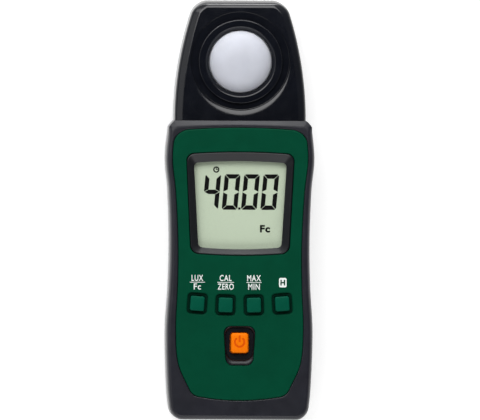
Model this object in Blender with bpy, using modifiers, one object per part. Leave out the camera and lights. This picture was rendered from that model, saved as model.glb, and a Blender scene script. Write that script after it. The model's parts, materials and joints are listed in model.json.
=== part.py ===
"""Pocket light meter, lying on its back.

X runs across the meter, Y from the bottom end to the head, Z out of the display face.
The origin is under the middle of the meter, on the plane that its back rests on.
All sizes are in metres.
"""

import math

import bmesh
import bpy
from mathutils import Matrix, Vector

# Clearance between neighbouring pieces
FIT = 0.0003

# Display window, seen from the front
DISPLAY_GAP = 0.0007          # upper board posts to the display bezel
WINDOW_HEIGHT = 0.0280
WINDOW_TOP_WIDTH = 0.0295
WINDOW_BOTTOM_WIDTH = 0.0264
WINDOW_CROWN = 0.0005         # rise of the curved top and bottom edges
WINDOW_CORNER = 0.0014
BEZEL_TOP_MARGIN = 0.0029     # window's edge to the bezel's outer edge
BEZEL_SIDE_MARGIN = 0.0024
BEZEL_BOTTOM_MARGIN = 0.0019
BEZEL_CORNER = 0.0020

# Light sensor, seen from the front
DOME_RADIUS = 0.0100
DOME_HEIGHT = 0.0053
DOME_WALL = 0.0016
COLLAR_GROOVE = 0.0012        # dome's edge to the collar's inner lip
COLLAR_CREST = 0.0024         # dome's edge to the collar's highest line
COLLAR_WIDTH = 0.0030         # dome's edge to the collar's outer edge
COLLAR_HEIGHT = 0.0011
COLLAR_ROUND = 0.0003         # fall from the collar's highest line to its shoulders
COLLAR_SIDE = 0.0005          # height of the collar's upright outer edge
DISH_MARGIN = 0.0060          # dome's edge to the edge of the dish floor
DISH_DEPTH = 0.0009           # at the sensor's centre
HEAD_TOP_MARGIN = 0.00325     # dish floor to the top end
HEAD_LOW_MARGIN = 0.00275     # dish floor to the shoulder
HEAD_SIDE_MARGIN = 0.0050     # dish floor to the head's widest line
HEAD_SIDE_RADIUS = 0.1115     # bow of the head's sides
HEAD_CORNER_RADIUS = 0.0040

# Body outline, seen from the front: widths are added to the waist's
BODY_LENGTH = 0.0950          # bottom end to shoulder
WAIST_MARGIN = 0.00075        # room between what the waist holds and its walls
WAIST_DROP = 0.0388           # below the shoulder
SHOULDER_STEP = 0.0017        # body edge outside the head's widest line
SHOULDER_DROP = 0.0020
UPPER_BULGE_SWELL = 0.0014
UPPER_BULGE_DROP = 0.0121
UPPER_FLANK_SWELL = 0.0005
UPPER_FLANK_DROP = 0.0223
HIP_SWELL = 0.0003
HIP_HEIGHT = 0.0422           # above the bottom end
LOWER_BULGE_SWELL = 0.0011
LOWER_BULGE_HEIGHT = 0.0280
HEEL_SWELL = 0.0005
HEEL_HEIGHT = 0.0092
FOOT_RADIUS = 0.0042

# Rubber rim round the green face
RIM_LAP = 0.0007              # rubber's reach over the front shell, at the upper bulge
RIM_WAIST = 0.0026            # width of the rim at the waist
RIM_LOWER = 0.0031            # at the lower bulge
RIM_KNEE = 0.0038
RIM_KNEE_HEIGHT = 0.0175
RIM_HEEL = 0.0071             # where the face narrows to its bottom edge
RIM_TOP = 0.0022              # shoulder to the green face
RIM_BOTTOM = 0.0062           # bottom end to the green face
FACE_TOP_CROWN = 0.0006
FACE_BOTTOM_CROWN = 0.0011
FACE_TOP_CORNER = 0.0055
FACE_BOTTOM_CORNER = 0.0020
FACE_BOTTOM_RUN = 0.0032      # bottom corner's length along the bottom edge
RIM_ROUND_WIDTH = 0.0015
RIM_ROUND_HEIGHT = 0.0024
SHOULDER_CROWN = 0.0009
RUBBER = 0.0014

# Shells and the levels of the parting line and the head
SHELL_WALL = 0.0018
PART_LINE = 0.0105
TONGUE = 0.0015               # how far the front pieces reach down inside the rear shell
TONGUE_WALL = 0.0008
BACK_ROUND = 0.0030
SHOULDER_RISE = 0.0045        # head face to green face, at the shoulder
HEAD_SLOPE = 0.042            # fall of the head face per length
HEAD_DRAFT = 0.0011           # lean of the head's sides, up to the bevel
HEAD_BEVEL_WIDTH = 0.0016
HEAD_BEVEL_HEIGHT = 0.0009
HEAD_TOP_SHARE = 0.65         # width of draft and bevel along the top edge, against the sides
FACE_PROUD = 0.0003           # green face above the rubber rim
FACE_THICKNESS = 0.0020
FACE_EDGE = 0.0004
LEDGE_DEPTH = 0.0022          # green face to the ledge under the rubber

# Battery bay
CELL_DIAMETER = 0.0105
CELL_LENGTH = 0.0445
CELL_NUB_RADIUS = 0.0019
CELL_NUB_LENGTH = 0.0009
CELL_GAP = 0.0006
CONTACT_THICKNESS = 0.0004
CONTACT_WIDTH = 0.0085
SPRING_LENGTH = 0.0030
SPRING_RADIUS = 0.0030
SPRING_TIP_RADIUS = 0.0016
SPRING_WIRE = 0.0006
SPRING_TURNS = 2.6
SPRING_POINTS_PER_TURN = 10
BAY_WALL = 0.0010
SCREW_WALL = 0.0006           # between the door's groove and the lower screws' wells
DOOR_THICKNESS = 0.0013
DOOR_TONGUE = 0.0010
DOOR_TONGUE_THICKNESS = 0.0007
DOOR_END_INSET = 0.0011
DOOR_RIDGES = 5
DOOR_RIDGE_PITCH = 0.0018
DOOR_RIDGE_LENGTH = 0.0120
DOOR_RIDGE_DEPTH = 0.0005

# Boards and display stack
BOARD_THICKNESS = 0.0012
BOARD_END_GAP = 0.0007
BEZEL_DEPTH = 0.0014
BEZEL_LIP = 0.0006
BEZEL_FLANGE = 0.0010
WINDOW_FLANGE = 0.0013
WINDOW_THICKNESS = 0.0010
LCD_THICKNESS = 0.0016
HOLDER_WALL = 0.0012
ZEBRA_WIDTH = 0.0020

# Parts on the back of the main board
PROCESSOR_SIZE = 0.0100
PROCESSOR_THICKNESS = 0.0014
AMPLIFIER_WIDTH = 0.0050
AMPLIFIER_LENGTH = 0.0040
AMPLIFIER_THICKNESS = 0.0015
CRYSTAL_WIDTH = 0.0030
CRYSTAL_LENGTH = 0.0080
CRYSTAL_THICKNESS = 0.0025
CHIP_GAP = 0.0030

# Keys and switches
KEY_NAMES = ("units", "zero", "max_min", "hold")
KEY_PITCH = 0.0090
KEY_WIDTH = 0.0045
KEY_HEIGHT = 0.00465
KEY_CORNER = 0.0006
KEY_ROW_RADIUS = 0.1850       # the row curves up at its ends
KEY_ROW_DROP = 0.01775        # window's bottom edge to the row
KEY_RISE = 0.0011
KEY_EDGE = 0.0004
KEY_FLANGE = 0.0009
KEY_FLANGE_MARGIN = 0.0008
KEY_WELL_MARGIN = 0.0010
KEY_WELL_DEPTH = 0.0008
POWER_WIDTH = 0.0057
POWER_HEIGHT = 0.0068
POWER_CORNER = 0.0009
POWER_DROP = 0.01215          # key row to the power key
POWER_WELL_WIDTH = 0.0099
POWER_WELL_HEIGHT = 0.0122
POWER_WELL_OFFSET = 0.00075   # well's centre below the key's
POWER_WELL_CORNER = 0.0022
POWER_WELL_DEPTH = 0.0011
SWITCH_WIDTH = 0.0060
SWITCH_HEIGHT = 0.0023
PLUNGER_RADIUS = 0.0015
PLUNGER_RISE = 0.0006
PLUNGER_LENGTH = 0.0018

# Fasteners
CASE_SCREW_RADIUS = 0.00115
CASE_SCREW_HEAD_RADIUS = 0.0021
CASE_SCREW_HEAD_HEIGHT = 0.0014
CASE_SCREW_CROWN_RADIUS = 0.0016
CASE_SCREW_TIP_RADIUS = 0.0006
CASE_SCREW_SEAT = 0.0029      # back plane to the underside of the head
CASE_SCREW_LENGTH = 0.0100
CASE_SCREW_FOOT_HEIGHT = 0.0105
CASE_SCREW_TOP_DROP = 0.0060
BOSS_WALL = 0.0011
SMALL_SCREW_RADIUS = 0.0008
SMALL_SCREW_HEAD_RADIUS = 0.0016
SMALL_SCREW_HEAD_HEIGHT = 0.0010
SMALL_SCREW_CROWN_RADIUS = 0.0013
SMALL_SCREW_LENGTH = 0.0045
SCREW_CROSS_WIDTH = 0.0006
SCREW_CROSS_LENGTH = 0.0025

# Sensor parts behind the dome
CUP_SHELF = 0.0006            # between the photodiode's pocket and the filter
FILTER_RADIUS = 0.0041
FILTER_THICKNESS = 0.0012
PHOTODIODE_SIZE = 0.0050
PHOTODIODE_HEIGHT = 0.0012
SENSOR_BOARD_DEPTH = 0.0044   # dish floor to the sensor board
SENSOR_SCREW_TURN = math.radians(-30)
CABLE_RADIUS = 0.0008

# Levels worked out from the sizes above
DOOR_LOW = FIT
CELL_LOW = DOOR_LOW + DOOR_THICKNESS + FIT
CELL_LEVEL = CELL_LOW + CELL_DIAMETER / 2
BAY_CEILING = CELL_LOW + CELL_DIAMETER + FIT
BAY_ROOF = BAY_CEILING + BAY_WALL
BOARD_LOW = BAY_ROOF + FIT
BOARD_TOP = BOARD_LOW + BOARD_THICKNESS
SWITCH_LOW = BOARD_TOP + FIT
SWITCH_TOP = SWITCH_LOW + SWITCH_HEIGHT
PLUNGER_TOP = SWITCH_TOP + PLUNGER_RISE
KEY_LOW = PLUNGER_TOP + FIT
FACE_LOW = KEY_LOW + KEY_FLANGE + FIT
FACE = FACE_LOW + FACE_THICKNESS
KEY_TOP = FACE + KEY_RISE
RIM_LEVEL = FACE - FACE_PROUD
LEDGE = FACE - LEDGE_DEPTH
FRONT_LOW = PART_LINE + FIT

# Places along the meter
HEAD_LENGTH = HEAD_LOW_MARGIN + 2 * (DOME_RADIUS + DISH_MARGIN) + HEAD_TOP_MARGIN
BOTTOM_Y = -(BODY_LENGTH + HEAD_LENGTH) / 2
SHOULDER_Y = BOTTOM_Y + BODY_LENGTH
TOP_Y = SHOULDER_Y + HEAD_LENGTH
DISH_RADIUS = DOME_RADIUS + DISH_MARGIN
SENSOR_Y = SHOULDER_Y + HEAD_LOW_MARGIN + DISH_RADIUS
HEAD_HALF = DISH_RADIUS + HEAD_SIDE_MARGIN
SKIRT = RUBBER + FIT
SKIRT_INNER = SKIRT + SHELL_WALL
SMALL_BORE = SMALL_SCREW_RADIUS + FIT
BOARD_POST_RADIUS = SMALL_BORE + BOSS_WALL
UPPER_POST_Y = SHOULDER_Y - SKIRT_INNER - FIT - BOARD_POST_RADIUS
BEZEL_TOP_Y = UPPER_POST_Y - BOARD_POST_RADIUS - DISPLAY_GAP - BEZEL_FLANGE
WINDOW_TOP_Y = BEZEL_TOP_Y - BEZEL_TOP_MARGIN
WINDOW_BOTTOM_Y = WINDOW_TOP_Y - WINDOW_HEIGHT
KEY_ROW_Y = WINDOW_BOTTOM_Y - KEY_ROW_DROP
POWER_Y = KEY_ROW_Y - POWER_DROP
TONGUE_LOW = PART_LINE - TONGUE

# The waist is as wide as the widest of what it holds asks for
HOLDER_HALF = (WINDOW_TOP_WIDTH + WINDOW_FLANGE) / 2 + FIT + HOLDER_WALL
DISPLAY_SPAN = HOLDER_HALF + FIT + SKIRT_INNER
BEZEL_SPAN = WINDOW_BOTTOM_WIDTH / 2 + BEZEL_SIDE_MARGIN + BEZEL_FLANGE + FIT + SHELL_WALL + RIM_WAIST
END_KEY_X = (len(KEY_NAMES) - 1) / 2 * KEY_PITCH
KEY_SPAN = END_KEY_X + KEY_WIDTH / 2 + KEY_FLANGE_MARGIN + FIT + SHELL_WALL + RIM_LOWER - HIP_SWELL
WAIST_HALF = max(DISPLAY_SPAN, BEZEL_SPAN, KEY_SPAN) + WAIST_MARGIN
RIM_UPPER = RUBBER + RIM_LAP

# Places of the battery bay
BAY_BOTTOM = BOTTOM_Y + SKIRT_INNER + FIT + BAY_WALL
BAY_LENGTH = CELL_LENGTH + SPRING_LENGTH + 2 * CONTACT_THICKNESS + 5 * FIT
BAY_TOP = BAY_BOTTOM + BAY_LENGTH
CELL_X = (CELL_DIAMETER + CELL_GAP) / 2
BAY_HALF = CELL_X + CELL_DIAMETER / 2 + FIT
DOOR_HALF = BAY_HALF + DOOR_TONGUE - 2 * FIT
GROOVE_HALF = DOOR_HALF + DOOR_TONGUE + FIT
DOOR_TOP = BAY_TOP + DOOR_TONGUE

# Places of the screws
COUNTERBORE = CASE_SCREW_HEAD_RADIUS + FIT
SCREW_BORE = CASE_SCREW_RADIUS + FIT
BOSS_RADIUS = SCREW_BORE + BOSS_WALL
LOW_BOSS_X = GROOVE_HALF + SCREW_WALL + COUNTERBORE
CASE_SCREW_TIP = CASE_SCREW_SEAT + CASE_SCREW_LENGTH

# The dish floor is level, and the head face falls towards the top end
HEAD_FACE_AT_SHOULDER = FACE - SHOULDER_RISE
DISH_FLOOR = HEAD_FACE_AT_SHOULDER - HEAD_SLOPE * (SENSOR_Y - SHOULDER_Y) - DISH_DEPTH
HEAD_CEILING = DISH_FLOOR - SHELL_WALL
SENSOR_BOARD_TOP = DISH_FLOOR - SENSOR_BOARD_DEPTH
SENSOR_POST_RADIUS = SMALL_BORE + BOSS_WALL / 2
SENSOR_POST_X = DOME_RADIUS + COLLAR_CREST + FIT + SENSOR_POST_RADIUS

# Fineness of round shapes
CORNER_STEPS = 4
SMALL_CORNER_STEPS = 3
EDGE_STEPS = 3
SIDE_STEPS = 14
ROUND_STEPS = 3
DOME_STEPS = 6
PATH_STEPS = 4
SMALL_SIDES = 12
BOSS_SIDES = 16
CELL_SIDES = 20
CUP_SIDES = 24
DOME_SIDES = 32
DISH_SIDES = 40
SHARP_ANGLE = math.radians(35)
WELD = 1e-6
BEZIER_ARC = 0.5523
OVERLAP = 0.0004
REACH = 0.0060                # how far a cutter runs past what it cuts

# Looks from the photo: linear red, green and blue, then roughness and metallic value
BLACK_PLASTIC = ((0.012, 0.013, 0.020), 0.45, 0.0)
BLACK_RUBBER = ((0.022, 0.021, 0.025), 0.75, 0.0)
GREEN_PLASTIC = ((0.001, 0.061, 0.030), 0.50, 0.0)
GREEN_KEY = ((0.001, 0.082, 0.048), 0.45, 0.0)
ORANGE_KEY = ((0.870, 0.175, 0.004), 0.40, 0.0)
OPAL = ((0.640, 0.660, 0.720), 0.35, 0.0)
GREY_DISPLAY = ((0.500, 0.590, 0.450), 0.30, 0.0)
CLEAR = ((0.900, 0.920, 0.900), 0.05, 0.0)
BOARD_GREEN = ((0.010, 0.110, 0.040), 0.40, 0.0)
STEEL = ((0.550, 0.550, 0.560), 0.30, 1.0)
DARK = ((0.010, 0.010, 0.011), 0.50, 0.0)
FILTER_GREEN = ((0.150, 0.420, 0.200), 0.10, 0.0)
CELL_SLEEVE = ((0.080, 0.085, 0.095), 0.35, 0.3)


# Scene helpers

def clear_scene():
    for obj in list(bpy.data.objects):
        bpy.data.objects.remove(obj, do_unlink=True)


def new_collection(name):
    collection = bpy.data.collections.new(name)
    bpy.context.scene.collection.children.link(collection)
    return collection


clear_scene()
PARTS = new_collection("light_meter")
CUTTERS = new_collection("light_meter_cutters")
ROOT = bpy.data.objects.new("light_meter_origin", None)
PARTS.objects.link(ROOT)


def add_object(name, mesh, location=(0, 0, 0), turn=0.0):
    obj = bpy.data.objects.new(name, mesh)
    obj.location = location
    obj.rotation_euler = (0, 0, turn)
    CUTTERS.objects.link(obj)
    obj.hide_render = True
    obj.display_type = "WIRE"
    return obj


def finish(obj, look, parent=ROOT, smooth=True):
    """Make a shape one of the meter's pieces, with its own material."""
    colour, roughness, metallic = look
    CUTTERS.objects.unlink(obj)
    PARTS.objects.link(obj)
    obj.hide_render = False
    obj.display_type = "TEXTURED"
    obj.parent = parent
    material = bpy.data.materials.new(obj.name)
    material.use_nodes = True
    shader = material.node_tree.nodes["Principled BSDF"]
    shader.inputs["Base Color"].default_value = (*colour, 1.0)
    shader.inputs["Roughness"].default_value = roughness
    shader.inputs["Metallic"].default_value = metallic
    obj.data.materials.append(material)
    if smooth:
        obj.data.shade_smooth()
        obj.data.set_sharp_from_angle(angle=SHARP_ANGLE)
    return obj


def boolean(target, tool, operation):
    modifier = target.modifiers.new(tool.name, "BOOLEAN")
    modifier.operation = operation
    modifier.solver = "EXACT"
    modifier.object = tool


def cut(target, *tools):
    for tool in tools:
        boolean(target, tool, "DIFFERENCE")


def join(target, *tools):
    for tool in tools:
        boolean(target, tool, "UNION")


# Shape helpers

def mesh_from(bm, name):
    bmesh.ops.recalc_face_normals(bm, faces=bm.faces)
    mesh = bpy.data.meshes.new(name)
    bm.to_mesh(mesh)
    bm.free()
    return mesh


def loft(name, rings, loop=False, location=(0, 0, 0), turn=0.0):
    """A solid through rings of equal count, capped at its ends or closed on itself."""
    bm = bmesh.new()
    rows = [[bm.verts.new(point) for point in ring] for ring in rings]
    pairs = list(zip(rows, rows[1:]))
    if loop:
        pairs.append((rows[-1], rows[0]))
    else:
        bm.faces.new(rows[0])
        bm.faces.new(rows[-1])
    for low, high in pairs:
        for i in range(len(low)):
            j = (i + 1) % len(low)
            bm.faces.new((low[i], low[j], high[j], high[i]))
    return add_object(name, mesh_from(bm, name), location, turn)


def level_ring(outline, z):
    return [(x, y, z) for x, y in outline]


def block(name, size, centre, turn=0.0):
    bm = bmesh.new()
    bmesh.ops.create_cube(bm, size=1.0)
    bmesh.ops.scale(bm, vec=size, verts=bm.verts)
    return add_object(name, mesh_from(bm, name), centre, turn)


def drum(name, radius, low, high, centre, sides=BOSS_SIDES, top_radius=None):
    """An upright cylinder or cone between two levels."""
    bm = bmesh.new()
    bmesh.ops.create_cone(
        bm,
        cap_ends=True,
        segments=sides,
        radius1=radius,
        radius2=radius if top_radius is None else top_radius,
        depth=high - low,
    )
    return add_object(name, mesh_from(bm, name), (*centre, (low + high) / 2))


def prism(name, outline, low, high, location=(0, 0, 0), turn=0.0):
    """A flat outline given its thickness, from a filled 2D curve."""
    curve = bpy.data.curves.new(name, "CURVE")
    curve.dimensions = "2D"
    curve.fill_mode = "BOTH"
    curve.extrude = (high - low) / 2
    spline = curve.splines.new("POLY")
    spline.points.add(len(outline) - 1)
    spline.use_cyclic_u = True
    for point, (x, y) in zip(spline.points, outline):
        point.co = (x, y, 0, 1)
    mesh = mesh_of_curve(name, curve)
    mesh.transform(Matrix.Translation((0, 0, (low + high) / 2)))
    return add_object(name, mesh, location, turn)


def mesh_of_curve(name, curve):
    """The curve's solid as a mesh, with its caps welded on."""
    guide = bpy.data.objects.new(name + "_guide", curve)
    CUTTERS.objects.link(guide)
    bpy.context.view_layer.update()
    evaluated = guide.evaluated_get(bpy.context.evaluated_depsgraph_get())
    mesh = bpy.data.meshes.new_from_object(evaluated)
    bpy.data.objects.remove(guide, do_unlink=True)
    bm = bmesh.new()
    bm.from_mesh(mesh)
    bmesh.ops.remove_doubles(bm, verts=bm.verts, dist=WELD)
    bmesh.ops.recalc_face_normals(bm, faces=bm.faces)
    bm.to_mesh(mesh)
    bm.free()
    mesh.name = name
    return mesh


def tube(name, points, radius, resolution=2):
    """A wire along the points, with flat ends."""
    curve = bpy.data.curves.new(name, "CURVE")
    curve.dimensions = "3D"
    curve.bevel_depth = radius
    curve.bevel_resolution = resolution
    curve.use_fill_caps = True
    spline = curve.splines.new("POLY")
    spline.points.add(len(points) - 1)
    for point, place in zip(spline.points, points):
        point.co = (*place, 1)
    return add_object(name, mesh_of_curve(name, curve))


def turned(name, profile, centre, steps):
    """A profile of radius and level, from the top down the outer side, spun round Z."""
    bm = bmesh.new()
    verts = [bm.verts.new((radius, 0, level)) for radius, level in profile]
    for first, second in zip(verts, verts[1:]):
        bm.edges.new((first, second))
    if profile[0][0] > 0:
        bm.edges.new((verts[-1], verts[0]))
    mesh = bpy.data.meshes.new(name)
    bm.to_mesh(mesh)
    bm.free()
    obj = add_object(name, mesh, centre)
    spin = obj.modifiers.new("spin", "SCREW")
    spin.steps = steps
    spin.render_steps = steps
    spin.use_merge_vertices = True
    spin.merge_threshold = WELD
    return obj


# Outlines: half of each is made from the top middle to the bottom middle

def mirrored(half):
    """A closed outline from its right half."""
    return half + [(-x, y) for x, y in reversed(half[1:-1])]


def round_corner(start, corner, end, steps=CORNER_STEPS):
    """Points after start, round to end, as a quarter arc pulled to the corner."""
    a, c, b = Vector(start), Vector(corner), Vector(end)
    near_a = a.lerp(c, BEZIER_ARC)
    near_b = b.lerp(c, BEZIER_ARC)
    points = []
    for step in range(1, steps + 1):
        t = step / steps
        u = 1 - t
        point = a * u ** 3 + near_a * (3 * u * u * t) + near_b * (3 * u * t * t) + b * t ** 3
        points.append(tuple(point))
    return points


def through_stations(stations, y):
    """A smooth value at y, through (y, value) stations in rising order of y."""
    last = len(stations) - 1
    index = 0
    while index < last - 1 and y > stations[index + 1][0]:
        index += 1

    def slope(i):
        low = stations[max(i - 1, 0)]
        high = stations[min(i + 1, last)]
        return (high[1] - low[1]) / (high[0] - low[0])

    (y0, v0), (y1, v1) = stations[index], stations[index + 1]
    span = y1 - y0
    t = (y - y0) / span
    first = (2 * t ** 3 - 3 * t ** 2 + 1) * v0 + (t ** 3 - 2 * t ** 2 + t) * span * slope(index)
    second = (3 * t ** 2 - 2 * t ** 3) * v1 + (t ** 3 - t ** 2) * span * slope(index + 1)
    return first + second


def body_edge(y):
    """Half the body's width at y."""
    stations = [
        (BOTTOM_Y, WAIST_HALF - HEEL_SWELL),
        (BOTTOM_Y + HEEL_HEIGHT, WAIST_HALF + HEEL_SWELL),
        (BOTTOM_Y + LOWER_BULGE_HEIGHT, WAIST_HALF + LOWER_BULGE_SWELL),
        (BOTTOM_Y + HIP_HEIGHT, WAIST_HALF + HIP_SWELL),
        (SHOULDER_Y - WAIST_DROP, WAIST_HALF),
        (SHOULDER_Y - UPPER_FLANK_DROP, WAIST_HALF + UPPER_FLANK_SWELL),
        (SHOULDER_Y - UPPER_BULGE_DROP, WAIST_HALF + UPPER_BULGE_SWELL),
        (SHOULDER_Y - SHOULDER_DROP, HEAD_HALF + SHOULDER_STEP),
    ]
    return through_stations(stations, y)


def face_edge(y):
    """Half the green face's width at y: the body's, less the rubber rim."""
    margins = [
        (BOTTOM_Y + HEEL_HEIGHT, RIM_HEEL),
        (BOTTOM_Y + RIM_KNEE_HEIGHT, RIM_KNEE),
        (BOTTOM_Y + LOWER_BULGE_HEIGHT, RIM_LOWER),
        (SHOULDER_Y - WAIST_DROP, RIM_WAIST),
        (SHOULDER_Y - UPPER_BULGE_DROP, RIM_UPPER),
        (SHOULDER_Y, RIM_UPPER),
    ]
    return body_edge(y) - through_stations(margins, y)


def head_edge(y):
    """Half the head's width at y, bowed from the shoulder up."""
    rise = max(y - SHOULDER_Y, 0.0)
    return HEAD_HALF - HEAD_SIDE_RADIUS + math.sqrt(HEAD_SIDE_RADIUS ** 2 - rise ** 2)


def edge_points(edge, inset, top, bottom, steps):
    """Points down one side, without the first."""
    points = []
    for step in range(1, steps + 1):
        y = top + (bottom - top) * step / steps
        points.append((edge(y) - inset, y))
    return points


def body_foot(inset):
    """The body's bottom corner and bottom edge."""
    radius = max(FOOT_RADIUS, inset + OVERLAP)
    side_y = BOTTOM_Y + radius
    side_x = body_edge(side_y) - inset
    corner = (side_x - OVERLAP, BOTTOM_Y + inset)
    end_x = body_edge(side_y) - radius
    points = round_corner((side_x, side_y), corner, (end_x, BOTTOM_Y + inset))
    points.append((end_x / 2, BOTTOM_Y + inset))
    points.append((0, BOTTOM_Y + inset))
    return points


def body_outline(inset, crown=0.0):
    """The body from the shoulder down, with a top edge that falls by crown at its ends."""
    top = SHOULDER_Y - inset
    top_half = HEAD_HALF - inset
    side_top = SHOULDER_Y - SHOULDER_DROP - inset / 2 - crown
    side_half = body_edge(side_top) - inset
    half = [(0, top)]
    for step in range(1, EDGE_STEPS + 1):
        share = step / EDGE_STEPS
        half.append((top_half * share, top - crown * share ** 2))
    corner = (side_half - SHOULDER_STEP / 4, (top - crown + side_top) / 2)
    half += round_corner(half[-1], corner, (side_half, side_top))
    side_bottom = BOTTOM_Y + max(FOOT_RADIUS, inset + OVERLAP)
    half += edge_points(body_edge, inset, side_top, side_bottom, SIDE_STEPS)
    half += body_foot(inset)
    return mirrored(half)


def face_outline(inset):
    """The green face."""
    top = SHOULDER_Y - RIM_TOP - inset
    bottom = BOTTOM_Y + RIM_BOTTOM + inset
    side_top = top - FACE_TOP_CORNER
    side_half = face_edge(side_top) - inset
    start_x = side_half - FACE_TOP_CORNER
    half = [(0, top)]
    for step in range(1, EDGE_STEPS + 1):
        share = step / EDGE_STEPS
        half.append((start_x * share, top - FACE_TOP_CROWN * share ** 2))
    half += round_corner(half[-1], (side_half, top - FACE_TOP_CROWN), (side_half, side_top))
    side_bottom = BOTTOM_Y + HEEL_HEIGHT + inset / 2
    half += edge_points(face_edge, inset, side_top, side_bottom, SIDE_STEPS)
    low_half = half[-1][0]
    end = (low_half - FACE_BOTTOM_RUN, bottom + FACE_BOTTOM_CROWN)
    half += round_corner(half[-1], (low_half - FACE_BOTTOM_CORNER / 2, end[1]), end)
    half.append((end[0] / 2, bottom + FACE_BOTTOM_CROWN / 4))
    half.append((0, bottom))
    return mirrored(half)


def head_top(inset, top_inset):
    """The head's top edge, corner and side, down to the shoulder."""
    radius = max(HEAD_CORNER_RADIUS, inset + OVERLAP)
    top = TOP_Y - top_inset
    side_y = TOP_Y - radius
    side_x = head_edge(side_y) - inset
    start = (head_edge(TOP_Y) - radius, top)
    half = [(0, top), (start[0] / 2, top), start]
    half += round_corner(start, (head_edge(TOP_Y) - inset, top), (side_x, side_y))
    half += edge_points(head_edge, inset, side_y, SHOULDER_Y - inset, CORNER_STEPS * 2)
    return half


def head_outline(inset, top_inset):
    """The head, run on past the shoulder."""
    low = SHOULDER_Y - REACH
    half = head_top(inset, top_inset)
    half.append((HEAD_HALF - inset, low))
    half.append((0, low))
    return mirrored(half)


def case_outline(inset):
    """Head and body together."""
    side_top = SHOULDER_Y - SHOULDER_DROP - inset / 2
    side_bottom = BOTTOM_Y + max(FOOT_RADIUS, inset + OVERLAP)
    half = head_top(inset, inset)
    half.append((body_edge(side_top) - inset, side_top))
    half += edge_points(body_edge, inset, side_top, side_bottom, SIDE_STEPS)
    half += body_foot(inset)
    return mirrored(half)


def display_outline(top_margin, side_margin, bottom_margin, corner):
    """The window's outline grown by margins, with curved top and bottom edges."""
    top = WINDOW_TOP_Y + top_margin
    bottom = WINDOW_BOTTOM_Y - bottom_margin
    top_half = WINDOW_TOP_WIDTH / 2 + side_margin
    bottom_half = WINDOW_BOTTOM_WIDTH / 2 + side_margin
    top_side = (top_half, top - WINDOW_CROWN)
    bottom_side = (bottom_half, bottom + WINDOW_CROWN)
    lean = (top_half - bottom_half) / (top - bottom) * corner
    half = [(0, top), (top_half / 2, top - WINDOW_CROWN / 4), (top_half - corner, top_side[1])]
    half += round_corner(half[-1], top_side, (top_half - lean, top_side[1] - corner), SMALL_CORNER_STEPS)
    low_start = (bottom_half + lean, bottom_side[1] + corner)
    half.append(low_start)
    half += round_corner(low_start, bottom_side, (bottom_half - corner, bottom_side[1]), SMALL_CORNER_STEPS)
    half += [(bottom_half / 2, bottom + WINDOW_CROWN / 4), (0, bottom)]
    return mirrored(half)


def even_display_outline(margin):
    return display_outline(margin, margin, margin, WINDOW_CORNER)


def bezel_outline(grow):
    return display_outline(
        BEZEL_TOP_MARGIN + grow, BEZEL_SIDE_MARGIN + grow, BEZEL_BOTTOM_MARGIN + grow, BEZEL_CORNER
    )


def rounded_rectangle(width, height, corner, steps=2):
    """A rectangle with round corners, about the origin."""
    x, y = width / 2, height / 2
    corners = [
        ((x - corner, y), (x, y), (x, y - corner)),
        ((x, corner - y), (x, -y), (x - corner, -y)),
        ((corner - x, -y), (-x, -y), (-x, corner - y)),
        ((-x, y - corner), (-x, y), (corner - x, y)),
    ]
    points = []
    for start, middle, end in corners:
        points.append(start)
        points += round_corner(start, middle, end, steps)
    return points


def quarter_round(width, height, steps=ROUND_STEPS):
    """Inset and drop below the top, from the foot of a rounded edge to its top."""
    angles = [math.pi / 2 * step / steps for step in range(steps + 1)]
    return [(width * (1 - math.cos(a)), height * (1 - math.sin(a))) for a in angles]


# Case

def case_screw_places():
    low_y = BOTTOM_Y + CASE_SCREW_FOOT_HEIGHT
    high_y = TOP_Y - CASE_SCREW_TOP_DROP
    high_x = head_edge(high_y) - SKIRT - TONGUE_WALL - BOSS_RADIUS - FIT
    return [(-LOW_BOSS_X, low_y), (LOW_BOSS_X, low_y), (-high_x, high_y), (high_x, high_y)]


def door_section(grow):
    """Cross-section of the door, or of its recess when grown by the clearance."""
    plate = DOOR_HALF + grow
    tongue = DOOR_HALF + DOOR_TONGUE + grow
    low = DOOR_LOW if grow == 0 else -REACH
    top = DOOR_LOW + DOOR_THICKNESS + grow
    step = DOOR_LOW + DOOR_THICKNESS - DOOR_TONGUE_THICKNESS - grow
    right = [(plate, low), (plate, step), (tongue, step), (tongue, top)]
    return right + [(-x, z) for x, z in reversed(right)]


def bar(name, section, low, high):
    """A cross-section of x and z, run along Y from low to high about the origin's middle."""
    half = (high - low) / 2
    rings = [[(x, y, z) for x, z in section] for y in (-half, half)]
    return loft(name, rings, location=(0, low + half, 0))


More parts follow.
